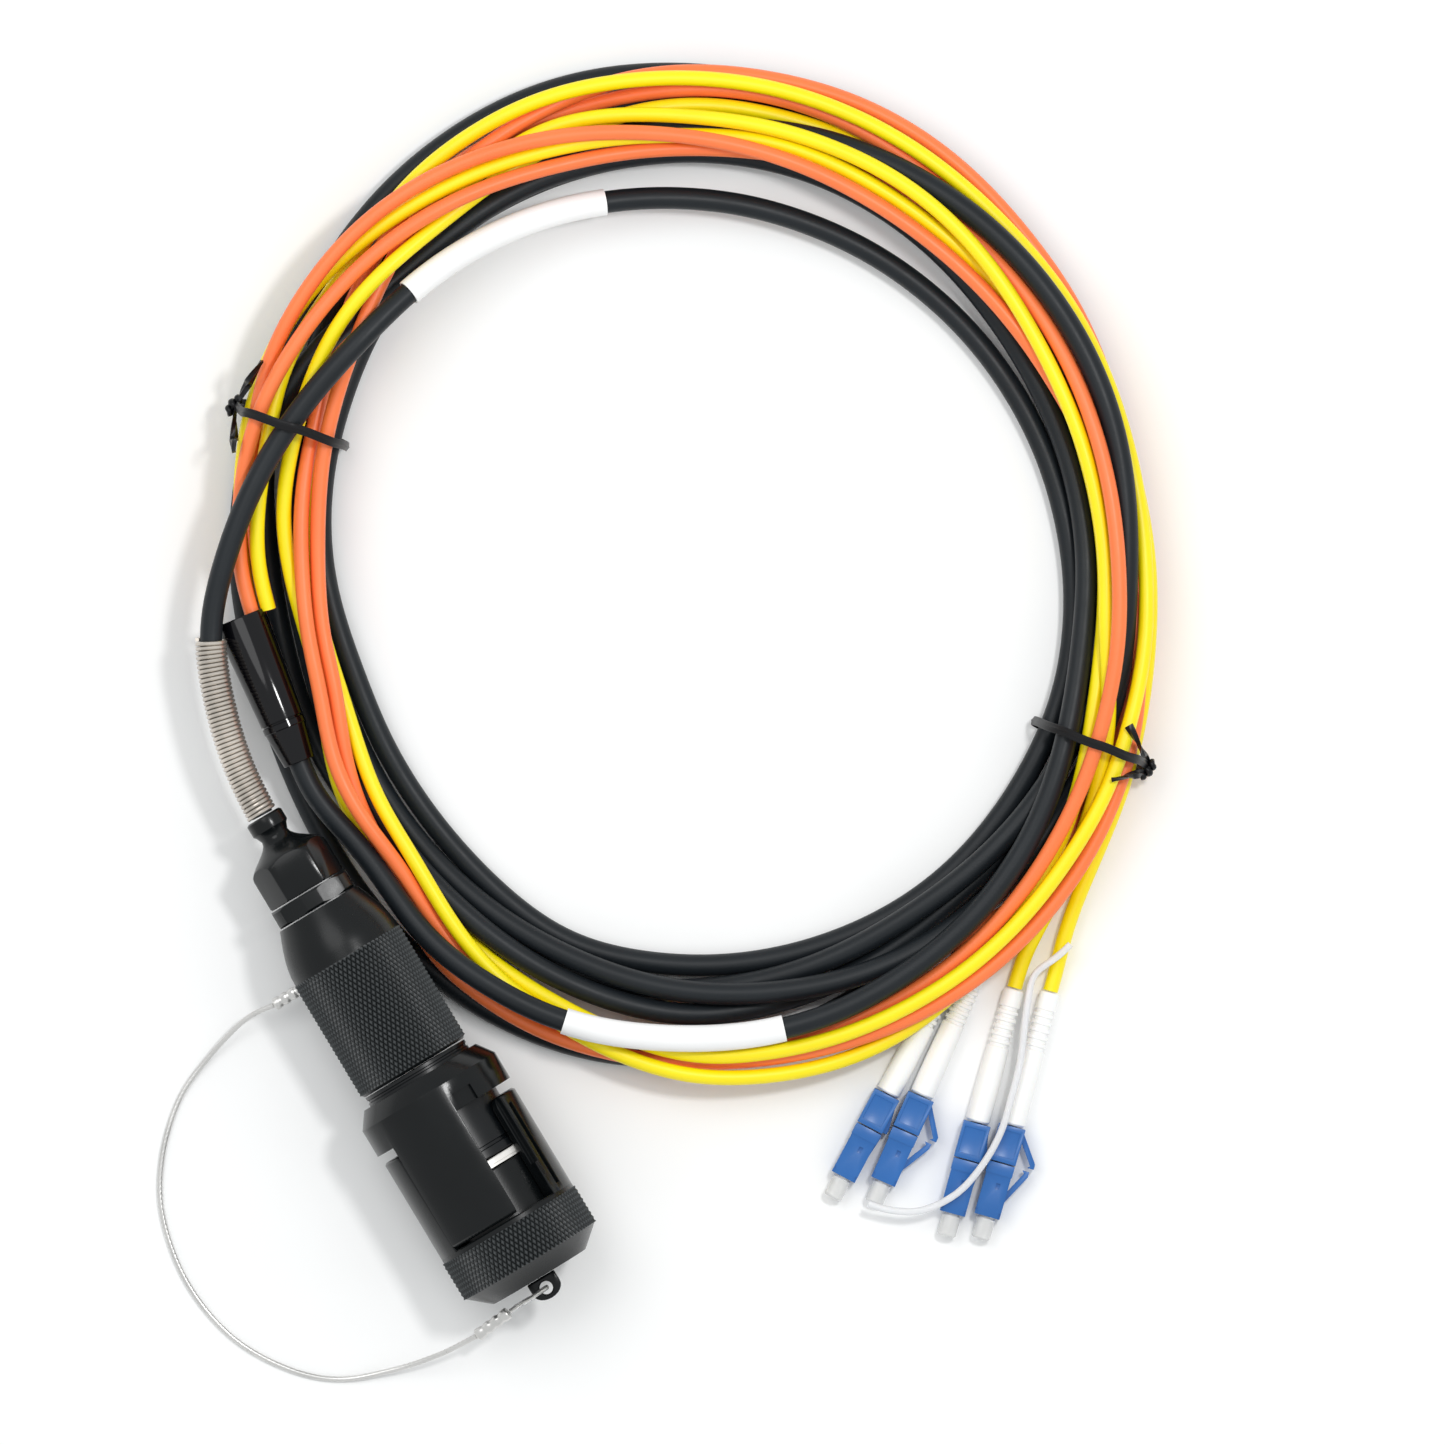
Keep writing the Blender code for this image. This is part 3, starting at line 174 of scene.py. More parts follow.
# Materials: noise scales, a metre, and how deep the grain is
TONE_SCALE = 60.0
GLOSS_SCALE = 240.0
GRAIN_DEPTH = 0.1 * MM

# Studio: each light's place, width and watts
SKY_COLOUR = (0.97, 0.99, 1.0, 1)
SKY_STRENGTH = 0.74
LIGHTS = {"key": ((0.26, 0.17, 0.80), 0.11, 2.2), "fill": ((-0.35, 0.30, 0.85), 0.6, 2.0)}


# Materials

def make_material(name, colour, roughness, metallic=0.0, grain=(900.0, 0.02), mottle=0.12,
                  spread=0.08, ior=1.5, clear=0.0, wrap=0.0, painted_highlight=None):
    """A plastic, paint or metal whose tone, gloss and fine grain vary over the surface. With a highlight
    colour, it paints that lighter colour, standing in for glints, where the mesh's highlight mask
    attribute is one."""
    material = bpy.data.materials.new(name)
    material.use_nodes = True
    tree = material.node_tree
    nodes, links = tree.nodes, tree.links
    shader = nodes["Principled BSDF"]
    shader.inputs["Metallic"].default_value = metallic
    shader.inputs["IOR"].default_value = ior
    shader.inputs["Transmission Weight"].default_value = clear
    shader.inputs["Subsurface Weight"].default_value = wrap
    shader.inputs["Subsurface Radius"].default_value = (0.004, 0.003, 0.002)
    shader.inputs["Subsurface Scale"].default_value = 0.3
    place = nodes.new("ShaderNodeTexCoord")

    def noise(scale, detail):
        texture = nodes.new("ShaderNodeTexNoise")
        texture.inputs["Scale"].default_value = scale
        texture.inputs["Detail"].default_value = detail
        links.new(place.outputs["Object"], texture.inputs["Vector"])
        return texture.outputs["Fac"]

    tone = nodes.new("ShaderNodeValToRGB")
    darker = [channel * (1 - mottle) for channel in colour]
    lighter = [min(1.0, channel * (1 + mottle)) for channel in colour]
    tone.color_ramp.elements[0].position = 0.3
    tone.color_ramp.elements[0].color = (*darker, 1)
    tone.color_ramp.elements[1].position = 0.7
    tone.color_ramp.elements[1].color = (*lighter, 1)
    links.new(noise(TONE_SCALE, 4.0), tone.inputs["Fac"])
    links.new(tone.outputs["Color"], shader.inputs["Base Color"])
    # Painted highlight: the masked vertices get a lighter colour that stands in for glints.
    if painted_highlight:
        tips = nodes.new("ShaderNodeAttribute")
        tips.attribute_name = "painted_highlight"
        blend = nodes.new("ShaderNodeMix")
        blend.data_type = "RGBA"
        blend.inputs["B"].default_value = (*painted_highlight, 1)
        links.new(tips.outputs["Fac"], blend.inputs["Factor"])
        links.new(tone.outputs["Color"], blend.inputs["A"])
        links.new(blend.outputs["Result"], shader.inputs["Base Color"])

    gloss = nodes.new("ShaderNodeMapRange")
    gloss.inputs["To Min"].default_value = max(0.02, roughness - spread)
    gloss.inputs["To Max"].default_value = min(1.0, roughness + spread)
    links.new(noise(GLOSS_SCALE, 5.0), gloss.inputs["Value"])
    links.new(gloss.outputs["Result"], shader.inputs["Roughness"])

    scale, strength = grain
    bump = nodes.new("ShaderNodeBump")
    bump.inputs["Strength"].default_value = strength
    bump.inputs["Distance"].default_value = GRAIN_DEPTH
    links.new(noise(scale, 3.0), bump.inputs["Height"])
    links.new(bump.outputs["Normal"], shader.inputs["Normal"])
    return material


black_jacket = make_material("black_jacket", (0.010, 0.013, 0.016), 0.44, grain=(1500.0, 0.25),
                             ior=1.36)
yellow_jacket = make_material("yellow_jacket", (1.0, 0.80, 0.0), 0.42, grain=(1300.0, 0.12),
                              mottle=0.03, wrap=0.08)
orange_jacket = make_material("orange_jacket", (1.0, 0.205, 0.055), 0.42, grain=(1300.0, 0.12),
                              mottle=0.04, wrap=0.08)
white_label = make_material("white_label", (0.93, 0.93, 0.925), 0.45, grain=(700.0, 0.2), mottle=0.015)
black_anodised = make_material("black_anodised", (0.003, 0.004, 0.0045), 0.20, 0.0, (2200.0, 0.08),
                               spread=0.05, ior=1.36)
# The knurl's crests get a painted highlight, a light grey that stands in for their glints.
knurled_black = make_material("knurled_black", (0.003, 0.004, 0.0045), 0.28, 0.0, (2200.0, 0.1),
                              ior=1.36, painted_highlight=(0.08, 0.087, 0.09))
dark_insert = make_material("dark_insert", (0.003, 0.004, 0.005), 0.3, 0.0, (1800.0, 0.08), ior=1.4)
black_plastic = make_material("black_plastic", (0.004, 0.004, 0.005), 0.36, grain=(1500.0, 0.2),
                              ior=1.36)
gloss_black = make_material("gloss_black", (0.002, 0.002, 0.003), 0.10, grain=(500.0, 0.04),
                            spread=0.04, ior=1.4)
spring_steel = make_material("spring_steel", (0.62, 0.57, 0.51), 0.30, 0.85, (1800.0, 0.15),
                             mottle=0.15)
bright_metal = make_material("bright_metal", (0.72, 0.71, 0.69), 0.30, 0.85, (1600.0, 0.2), mottle=0.1)
silver_ring = make_material("silver_ring", (0.86, 0.84, 0.80), 0.34, 0.25, (1600.0, 0.15), mottle=0.05)
clear_sleeve = make_material("clear_sleeve", (0.93, 0.93, 0.92), 0.12, grain=(800.0, 0.1), mottle=0.02,
                             clear=0.95, ior=1.45)
plug_blue = make_material("plug_blue", (0.018, 0.125, 0.40), 0.34, grain=(1200.0, 0.12), mottle=0.08,
                          wrap=0.03)
white_plastic = make_material("white_plastic", (0.93, 0.93, 0.915), 0.38, grain=(900.0, 0.12),
                              mottle=0.015, wrap=0.1)
white_ceramic = make_material("white_ceramic", (0.93, 0.93, 0.91), 0.12, grain=(900.0, 0.02),
                              mottle=0.02)
clear_plastic = make_material("clear_plastic", (0.95, 0.95, 0.94), 0.16, grain=(700.0, 0.1),
                              mottle=0.02, clear=0.45, ior=1.42)
milky_strap = make_material("milky_strap", (0.93, 0.935, 0.95), 0.2, grain=(700.0, 0.1), mottle=0.02,
                            clear=0.3, ior=1.42)


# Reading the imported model

def points_of(node):
    return [vertex.co for vertex in frame["nodes"][node].data.vertices]


def middle(node):
    low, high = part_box(node)
    return (Vector(low) + Vector(high)) / 2


def centreline(node, near):
    """The middles of a plain tube's rings of vertices, from the end that is nearer to a point."""
    work = bmesh.new()
    work.from_mesh(frame["nodes"][node].data)
    bmesh.ops.remove_doubles(work, verts=work.verts, dist=MERGE)
    work.verts.ensure_lookup_table()
    work.verts.index_update()

    def layers(row):
        seen, rows = set(row), []
        while row:
            rows.append(row)
            found = {edge.other_vert(vertex) for vertex in row for edge in vertex.link_edges} - seen
            row = sorted(found, key=lambda vertex: vertex.index)
            seen.update(row)
        return rows

    tip = layers([work.verts[0]])[-1][0]
    rings = []
    for face in tip.link_faces:
        row, fresh = {tip}, [tip]
        while fresh:
            vertex = fresh.pop()
            for edge in vertex.link_edges:
                other = edge.other_vert(vertex)
                if other not in row and abs((other.co - tip.co).dot(face.normal)) < 10 * MERGE:
                    row.add(other)
                    fresh.append(other)
        if len(row) > 5:
            rings.append(sorted(row, key=lambda vertex: vertex.index))
    end = min(rings, key=lambda row: max((vertex.co - tip.co).length for vertex in row))
    points = [sum((vertex.co for vertex in row), Vector()) / len(row) for row in layers(end)]
    work.free()
    if (points[-1] - near).length < (points[0] - near).length:
        points.reverse()
    return points


def joint_of(child):
    return next(joint for joint in frame["joints"] if joint["child"] == child)


class Axis:
    """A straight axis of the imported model. Its local Z runs ahead, and its local Y is up."""

    def __init__(self, through, ahead, start_node):
        self.ahead = Vector(ahead).normalized()
        self.through = Vector(through)
        self.start = self.through + self.ahead * min((point - self.through).dot(self.ahead)
                                                     for point in points_of(start_node))
        turn = Matrix((UP.cross(self.ahead), UP, self.ahead)).transposed().to_4x4()
        self.matrix = Matrix.Translation(self.start) @ turn

    def span(self, node):
        along = [(point - self.start).dot(self.ahead) for point in points_of(node)]
        return min(along), max(along)

    def at(self, distance):
        return self.start + self.ahead * distance


# Making pieces

def add_piece(name, vertices, faces, material, slot, body, nodes=(), matrix=None, smooth=32):
    """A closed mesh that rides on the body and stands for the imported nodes. With no body it is bare."""
    work = bmesh.new()
    corners = [work.verts.new(vertex) for vertex in vertices]
    for face in faces:
        work.faces.new([corners[i] for i in face])
    bmesh.ops.remove_doubles(work, verts=work.verts, dist=MERGE)
    bmesh.ops.recalc_face_normals(work, faces=work.faces)
    if matrix:
        work.transform(matrix)
    mesh = bpy.data.meshes.new(name)
    work.to_mesh(mesh)
    work.free()
    return dress(bpy.data.objects.new(name, mesh), material, body, nodes, smooth)


def dress(piece, material, body, nodes=(), smooth=32):
    bpy.context.scene.collection.objects.link(piece)
    piece.data.shade_smooth()
    piece.data.set_sharp_from_angle(angle=math.radians(smooth))
    piece.data.materials.clear()
    piece.data.materials.append(material)
    if nodes:
        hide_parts(*nodes)
    if body:
        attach(piece, body)
    return piece


def spline_through(points, spacing):
    """Evenly spaced points on the natural cubic spline through the points."""
    knots = np.array([tuple(point) for point in points])
    steps = np.linalg.norm(np.diff(knots, axis=0), axis=1)
    marks = np.concatenate([[0], np.cumsum(steps)])
    count = len(knots)
    system, right = np.eye(count), np.zeros((count, 3))
    for i in range(1, count - 1):
        before, after = steps[i - 1], steps[i]
        system[i, i - 1:i + 2] = before, 2 * (before + after), after
        right[i] = 6 * ((knots[i + 1] - knots[i]) / after - (knots[i] - knots[i - 1]) / before)
    bend = np.linalg.solve(system, right)
    fine = np.linspace(0, marks[-1], int(marks[-1] / spacing * 6) + 2)
    piece = np.clip(np.searchsorted(marks, fine, side="right") - 1, 0, count - 2)
    width = steps[piece][:, None]
    after, before = (marks[piece + 1] - fine)[:, None], (fine - marks[piece])[:, None]
    dense = (bend[piece] * after ** 3 + bend[piece + 1] * before ** 3) / (6 * width)
    dense += (knots[piece] / width - bend[piece] * width / 6) * after
    dense += (knots[piece + 1] / width - bend[piece + 1] * width / 6) * before
    walked = np.concatenate([[0], np.cumsum(np.linalg.norm(np.diff(dense, axis=0), axis=1))])
    wanted = np.linspace(0, walked[-1], max(2, int(round(walked[-1] / spacing)) + 1))
    return np.stack([np.interp(wanted, walked, dense[:, k]) for k in range(3)], axis=1)


def lying(path, radius, blur):
    """The evenly spaced path, evened out along its length, and never under the floor."""
    step = path_length(path) / (len(path) - 1)
    reach = int(3 * blur / step)
    weights = np.exp(-0.5 * (np.arange(-reach, reach + 1) * step / blur) ** 2)
    before, after = 2 * path[0] - path[reach:0:-1], 2 * path[-1] - path[-2:-reach - 2:-1]
    padded = np.concatenate([before, path, after])
    weights /= weights.sum()
    even = np.stack([np.convolve(padded[:, k], weights, "valid") for k in range(3)], axis=1)
    even[:, 2] = np.maximum(even[:, 2], radius)
    return even


def stretch(path, node):
    """The part of an evenly spaced path that a node's sleeve is round."""
    corners = np.array([tuple(point) for point in points_of(node)])
    nearest = np.array([np.argmin(np.linalg.norm(path - corner, axis=1)) for corner in corners])
    centre = int(np.median(nearest))
    low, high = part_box(node)
    step = path_length(path) / (len(path) - 1)
    # Points this far from the sleeve's middle lie on another turn of the coil
    reach = (Vector(high) - Vector(low)).length * 0.6 / step + 2
    nearest = nearest[np.abs(nearest - centre) <= reach]
    return path[nearest.min():nearest.max() + 1]


def path_length(path):
    return float(np.linalg.norm(np.diff(path, axis=0), axis=1).sum())


def frames_along(path):
    """Sideways and upward unit vectors at each point, which don't twist round the path."""
    ahead = np.gradient(path, axis=0)
    ahead /= np.linalg.norm(ahead, axis=1)[:, None]
    side = np.cross([0, 0, 1.0], ahead[0])
    if np.linalg.norm(side) < 0.01:
        side = np.array([1.0, 0, 0])
    sides = []
    for direction in ahead:
        side = side - direction * side.dot(direction)
        side = side / np.linalg.norm(side)
        sides.append(side)
    sides = np.array(sides)
    return sides, np.cross(ahead, sides)


def skin(rows, columns):
    """Quads between rows of vertices that each go once round."""
    return [(i * columns + j, i * columns + (j + 1) % columns,
             (i + 1) * columns + (j + 1) % columns, (i + 1) * columns + j)
            for i in range(rows - 1) for j in range(columns)]


def swept(path, radii, sides, squeeze=1.0, ends=True):
    """Vertices and faces of a round tube. radii is one number, one a point, or one a point and side.
    squeeze flattens it upward."""
    path = np.asarray(path, float)
    across, upward = frames_along(path)
    turn = np.linspace(0, 2 * math.pi, sides, endpoint=False)
    radii = np.asarray(radii, float)
    if radii.ndim == 1:
        radii = radii[:, None]
    radii = np.broadcast_to(radii, (len(path), sides))
    vertices = (path[:, None, :] + across[:, None, :] * (radii * np.cos(turn))[:, :, None]
                + upward[:, None, :] * (radii * np.sin(turn) * squeeze)[:, :, None])
    faces = skin(len(path), sides)
    if ends:
        faces += [tuple(range(sides))[::-1], tuple(range((len(path) - 1) * sides, len(path) * sides))]
    return vertices.reshape(-1, 3), faces


def add_tube(name, path, radii, sides, material, slot, body, nodes=(), squeeze=1.0):
    vertices, faces = swept(path, radii, sides, squeeze)
    return add_piece(name, vertices, faces, material, slot, body, nodes)


def add_sleeve(name, path, outer, inner, material, slot, body, nodes=(), sides=32):
    """A tube with a wall, and outer and inner radii."""
    outside, faces = swept(path, outer, sides, ends=False)
    inside, _ = swept(path, inner, sides, ends=False)
    count = len(outside)
    faces = faces + [tuple(count + i for i in face[::-1]) for face in faces]
    last = (len(path) - 1) * sides
    for j in range(sides):
        k = (j + 1) % sides
        faces.append((j, count + j, count + k, k))
        faces.append((last + j, last + k, count + last + k, count + last + j))
    return add_piece(name, np.concatenate([outside, inside]), faces, material, slot, body, nodes)


def turned(profile, segments=ROUND, closed=False):
    """Vertices and faces of a turned solid. The profile is (radius, height) from end to end of its
    outline on the axis, or a closed outline off the axis."""
    vertices, faces = [], []
    for radius, height in profile:
        for j in range(segments):
            turn = 2 * math.pi * j / segments
            vertices.append((radius * math.sin(turn), radius * math.cos(turn), height))
    rows = list(range(len(profile))) + ([0] if closed else [])
    for low, high in zip(rows, rows[1:]):
        for j in range(segments):
            k = (j + 1) % segments
            corners = [low * segments + j, low * segments + k, high * segments + k, high * segments + j]
            if profile[low][0] < MERGE:
                corners.pop(1)
            elif profile[high][0] < MERGE:
                corners.pop(2)
            faces.append(tuple(corners))
    return vertices, faces


def eased(profile, size):
    """The profile with all corners but its ends rounded off by the size."""
    steps = 3
    points = [Vector(point) for point in profile]
    out = [points[0]]
    for before, corner, after in zip(points, points[1:], points[2:]):
        back, ahead = before - corner, after - corner
        reach = min(size, back.length * 0.45, ahead.length * 0.45)
        start, end = corner + back.normalized() * reach, corner + ahead.normalized() * reach
        for i in range(steps + 1):
            t = i / steps
            out.append(start * (1 - t) ** 2 + corner * 2 * t * (1 - t) + end * t * t)
    out.append(points[-1])
    return [tuple(point) for point in out]


def knurled(low_profile, high_profile, radius, low, high):
    """A turned solid with a diamond knurl between two heights, where the plain profiles meet it."""
    columns = 4 * round(math.pi * radius / KNURL_WIDTH)
    rows = round((high - low) / KNURL_ROW)
    profile = list(low_profile) + [None] * (rows + 1) + list(high_profile)
    vertices, faces = [], []
    for i, point in enumerate(profile):
        row = i - len(low_profile)
        for j in range(columns):
            turn = 2 * math.pi * j / columns
            if point is None:
                reach = radius - KNURL_DEPTH * ((j + row) % 2 == 0)
                height = low + (high - low) * row / rows
            else:
                reach, height = point
            vertices.append((reach * math.sin(turn), reach * math.cos(turn), height))
    for i in range(len(profile) - 1):
        row = i - len(low_profile)
        cut = 0 <= row < rows
        for j in range(columns):
            k = (j + 1) % columns
            a, b, c, d = i * columns + j, i * columns + k, (i + 1) * columns + k, (i + 1) * columns + j
            if cut and (j + row) % 2 == 0:
                faces += [(a, b, c), (a, c, d)]
            elif cut:
                faces += [(a, b, d), (b, c, d)]
            elif profile[i] is not None and profile[i][0] < MERGE:
                faces.append((a, c, d))
            elif profile[i + 1] is not None and profile[i + 1][0] < MERGE:
                faces.append((a, b, d))
            else:
                faces.append((a, b, c, d))
    return vertices, faces


def prism(outline, low, high, plane="XY"):
    """Vertices and faces of a solid on a flat outline."""
    count = len(outline)
    if plane == "XY":
        vertices = [(u, v, low) for u, v in outline] + [(u, v, high) for u, v in outline]
    else:
        vertices = [(u, low, v) for u, v in outline] + [(u, high, v) for u, v in outline]
    faces = [tuple(range(count)), tuple(range(count, 2 * count))[::-1]]
    faces += [(i, (i + 1) % count, count + (i + 1) % count, count + i) for i in range(count)]
    return vertices, faces


def hexagon(flat, upright=False):
    """The outline of a hexagon by its half width over the flats. A corner is on +X, or on +Y."""
    corner = flat / math.cos(math.pi / 6)
    turns = [math.pi / 3 * i for i in range(6)]
    outline = [(corner * math.cos(turn), corner * math.sin(turn)) for turn in turns]
    return [(y, x) for x, y in outline] if upright else outline


def block(size, centre):
    """A box by its size and its middle."""
    x, y, z = (value / 2 for value in size)
    outline = [(centre[0] - x, centre[1] - y), (centre[0] + x, centre[1] - y),
               (centre[0] + x, centre[1] + y), (centre[0] - x, centre[1] + y)]
    return prism(outline, centre[2] - z, centre[2] + z)


def shaped(name, solid, matrix, cuts=(), joins=(), keeps=(), edge=0.0, segments=2):
    """An object made from one solid by exact booleans with others, with its edges eased."""
    def build(label, shape):
        work = bmesh.new()
        corners = [work.verts.new(vertex) for vertex in shape[0]]
        for face in shape[1]:
            work.faces.new([corners[i] for i in face])
        bmesh.ops.remove_doubles(work, verts=work.verts, dist=MERGE)
        bmesh.ops.recalc_face_normals(work, faces=work.faces)
        mesh = bpy.data.meshes.new(label)
        work.to_mesh(mesh)
        work.free()
        obj = bpy.data.objects.new(label, mesh)
        bpy.context.scene.collection.objects.link(obj)
        return obj

    piece = build(name + "_raw", solid)
    tools = []
    for operation, shapes in (("UNION", joins), ("DIFFERENCE", cuts), ("INTERSECT", keeps)):
        for shape in shapes:
            tool = build("tool", shape)
            tools.append(tool)
            step = piece.modifiers.new("Cut", "BOOLEAN")
            step.operation = operation
            step.object = tool
    if edge:
        ease = piece.modifiers.new("Edges", "BEVEL")
        ease.width = edge
        ease.segments = segments
        ease.limit_method = "ANGLE"
        ease.angle_limit = math.radians(35)
        ease.use_clamp_overlap = True
    bpy.context.view_layer.update()
    graph = bpy.context.evaluated_depsgraph_get()
    mesh = bpy.data.meshes.new_from_object(piece.evaluated_get(graph))
    mesh.name = name
    mesh.transform(matrix)
    for obj in [piece] + tools:
        bpy.data.objects.remove(obj, do_unlink=True)
    return bpy.data.objects.new(name, mesh)


def sector(inner, outer, span_deg, low, high):
    """A ring sector, counted in degrees from local +Y towards local +X."""
    start, end = span_deg
    steps = max(2, round((end - start) / 4))
    angles = [math.radians(start + (end - start) * i / steps) for i in range(steps + 1)]
    outline = [(math.sin(a) * outer, math.cos(a) * outer) for a in angles]
    outline += [(math.sin(a) * inner, math.cos(a) * inner) for a in reversed(angles)]
    return prism(outline, low, high)


# The object's own pieces

connector_joint = joint_of("cap")
connector = Axis(middle("interface_seal"), connector_joint["axis"], "gland_nut")


def add_connector():
    matrix, body = connector.matrix, "cable"
    waist = NECK_LENGTH + WAIST_LENGTH
    nut_high = connector.span("gland_nut")[1]
    flare = [(WAIST_R + (NUT_R - WAIST_R) * (0.5 - 0.5 * math.cos(math.pi * t / FLARE_STEPS)),
              waist + FLARE_LENGTH * t / FLARE_STEPS) for t in range(FLARE_STEPS + 1)]
    profile = [(0, 0), (NECK_R - 0.5 * MM, 0), (NECK_R, 0.4 * MM), (NECK_R, NECK_LENGTH - 0.5 * MM),
               (NECK_R - 0.5 * MM, NECK_LENGTH)] + flare
    profile += [(NUT_R, nut_high - 0.4 * MM), (NUT_R - 0.3 * MM, nut_high), (0, nut_high)]
    nut = shaped("gland_nut_turned", turned(profile), matrix, edge=0.15 * MM,
                 keeps=[prism(hexagon(NUT_FLAT), -MM, nut_high + MM)])
    dress(nut, black_anodised, body, ["gland_nut"], 30)

    low, high = connector.span("backshell_band")
    ring = [(0, low), (BAND_R - 0.5 * MM, low), (BAND_R, low + 0.5 * MM), (BAND_R, high - 0.5 * MM),
            (BAND_R - 0.5 * MM, high), (0, high)]
    band = shaped("backshell_hex_band", turned(ring), matrix, edge=0.12 * MM,
                  keeps=[prism(hexagon(BAND_FLAT, True), low - MM, high + MM)])
    dress(band, knurled_black, body, ["backshell_band"], 30)

    low, high = connector.span("grip_barrel")
    shoulder = low + TAPER_LENGTH
    taper = [(BAND_R + (BARREL_R - 0.3 * MM - BAND_R) * math.sin(math.pi / 2 * t / TAPER_STEPS),
              low + (TAPER_LENGTH - 0.4 * MM) * t / TAPER_STEPS) for t in range(TAPER_STEPS + 1)]
    knurl = (shoulder, high - 0.7 * MM)
    solid = knurled([(0, low)] + taper, [(BARREL_R - 0.4 * MM, high - 0.5 * MM),
                                         (BARREL_R - 0.8 * MM, high), (0, high)], BARREL_R, *knurl)
    grip = add_piece("knurled_grip", *solid, knurled_black, "black_anodised", body, ["grip_barrel"],
                     matrix, 28)
    # Paints a highlight on the grip's knurl crests.
    mark_painted_highlight(grip, BARREL_R, *knurl)

    collar_low, insert_high = connector.span("plug_insert")
    ring_low = connector.span("coupling_ring")[0]
    groove = (collar_low + ring_low) / 2
    collar_r = INSERT_R - COLLAR_STEP
    profile = [(0, collar_low), (collar_r, collar_low), (collar_r, groove - 0.4 * MM),
               (collar_r - 0.3 * MM, groove - 0.2 * MM), (collar_r - 0.3 * MM, groove + 0.2 * MM),
               (collar_r, groove + 0.4 * MM), (collar_r, ring_low), (INSERT_R, ring_low),
               (INSERT_R, insert_high - 3.0 * MM), (INSERT_R - 0.4 * MM, insert_high - 2.8 * MM),
               (INSERT_R - 0.4 * MM, insert_high - 2.2 * MM), (INSERT_R, insert_high - 2.0 * MM),
               (INSERT_R, insert_high - 0.3 * MM), (INSERT_R - 0.3 * MM, insert_high), (0, insert_high)]
    add_piece("insert_core", *turned(profile), dark_insert, "black_anodised", body, ["plug_insert"],
              matrix, 30)

    low, high = connector.span("interface_seal")
    third = (high - low) / 3
    profile = [(0, low), (INSERT_R - 0.2 * MM, low), (INSERT_R, low + 0.2 * MM),
               (INSERT_R, high - third), (INSERT_R - 0.3 * MM, high - third + 0.1 * MM),
               (INSERT_R - 0.3 * MM, high), (0, high)]
    add_piece("silver_interface_ring", *turned(profile), silver_ring, "bright_metal", body,
              ["interface_seal"], matrix, 30)


def mark_painted_highlight(piece, radius, low, high):
    """Marks the tips of a knurl between two heights on the connector's axis, for a painted highlight: a
    lighter colour that stands in for their glints.
    """
    marks = []
    for vertex in piece.data.vertices:
        along = (vertex.co - connector.start).dot(connector.ahead)
        out = (vertex.co - connector.at(along)).length
        marks.append(float(low - MERGE <= along <= high + MERGE and out > radius - KNURL_DEPTH / 2))
    painted_highlight = piece.data.attributes.new("painted_highlight", "FLOAT", "POINT")
    painted_highlight.data.foreach_set("value", marks)


def add_coupling():
    low, high = connector.span("coupling_ring")
    ring_high = low + RING_LENGTH
    bore = INSERT_R + FIT_GAP
    outline = [(bore, low), (RING_CHAMFER_R, low), (RING_R, low + RING_CHAMFER_LENGTH),
               (RING_R, high - 0.8 * MM), (RING_R - 0.8 * MM, high), (JAW_BORE_R, high),
               (JAW_BORE_R, ring_high), (bore, ring_high)]
    cuts = []
    for turn in (0, 180):
        gap = (PLUG_JAW_DEG[1] + turn, PLUG_JAW_DEG[0] + 180 + turn)
        cuts.append(sector(INSERT_R - COLLAR_STEP, 2 * RING_R, gap, ring_high + 0.05 * MM, high + MM))
        notch = (PLUG_JAW_DEG[1] + 3 + turn, PLUG_JAW_DEG[1] + 20 + turn)
        cuts.append(sector(RING_R - 0.9 * MM, 2 * RING_R, notch, ring_high - 3.6 * MM, ring_high + MM))
    ring = shaped("coupling_ring_jaws", turned(outline, closed=True), connector.matrix, cuts=cuts,
                  edge=0.22 * MM, segments=3)
    dress(ring, black_anodised, "coupling", ["coupling_ring"], 30)


def plate(inner, outer, span_deg, low, high, corner):
    """A curved plate on the connector's axis, whose two lower corners are rounded off."""
    steps, ease = 48, 0.5 * MM
    width = math.radians(span_deg[1] - span_deg[0]) * outer
    vertices, faces = [], []
    for i in range(steps + 1):
        angle = math.radians(span_deg[0] + (span_deg[1] - span_deg[0]) * i / steps)
        inset = corner - min(corner, width * min(i, steps - i) / steps)
        start = low + corner - math.sqrt(corner ** 2 - inset ** 2)
        out = Vector((math.sin(angle), math.cos(angle)))
        section = ((outer - ease, start), (outer, start + ease), (outer, high), (inner, high),
                   (inner, start))
        vertices += [(out.x * reach, out.y * reach, height) for reach, height in section]
    for i in range(steps):
        for j in range(5):
            k = (j + 1) % 5
            faces.append((5 * i + j, 5 * i + k, 5 * i + 5 + k, 5 * i + 5 + j))
    faces += [tuple(range(5)), tuple(range(5 * steps, 5 * steps + 5))]
    return vertices, faces


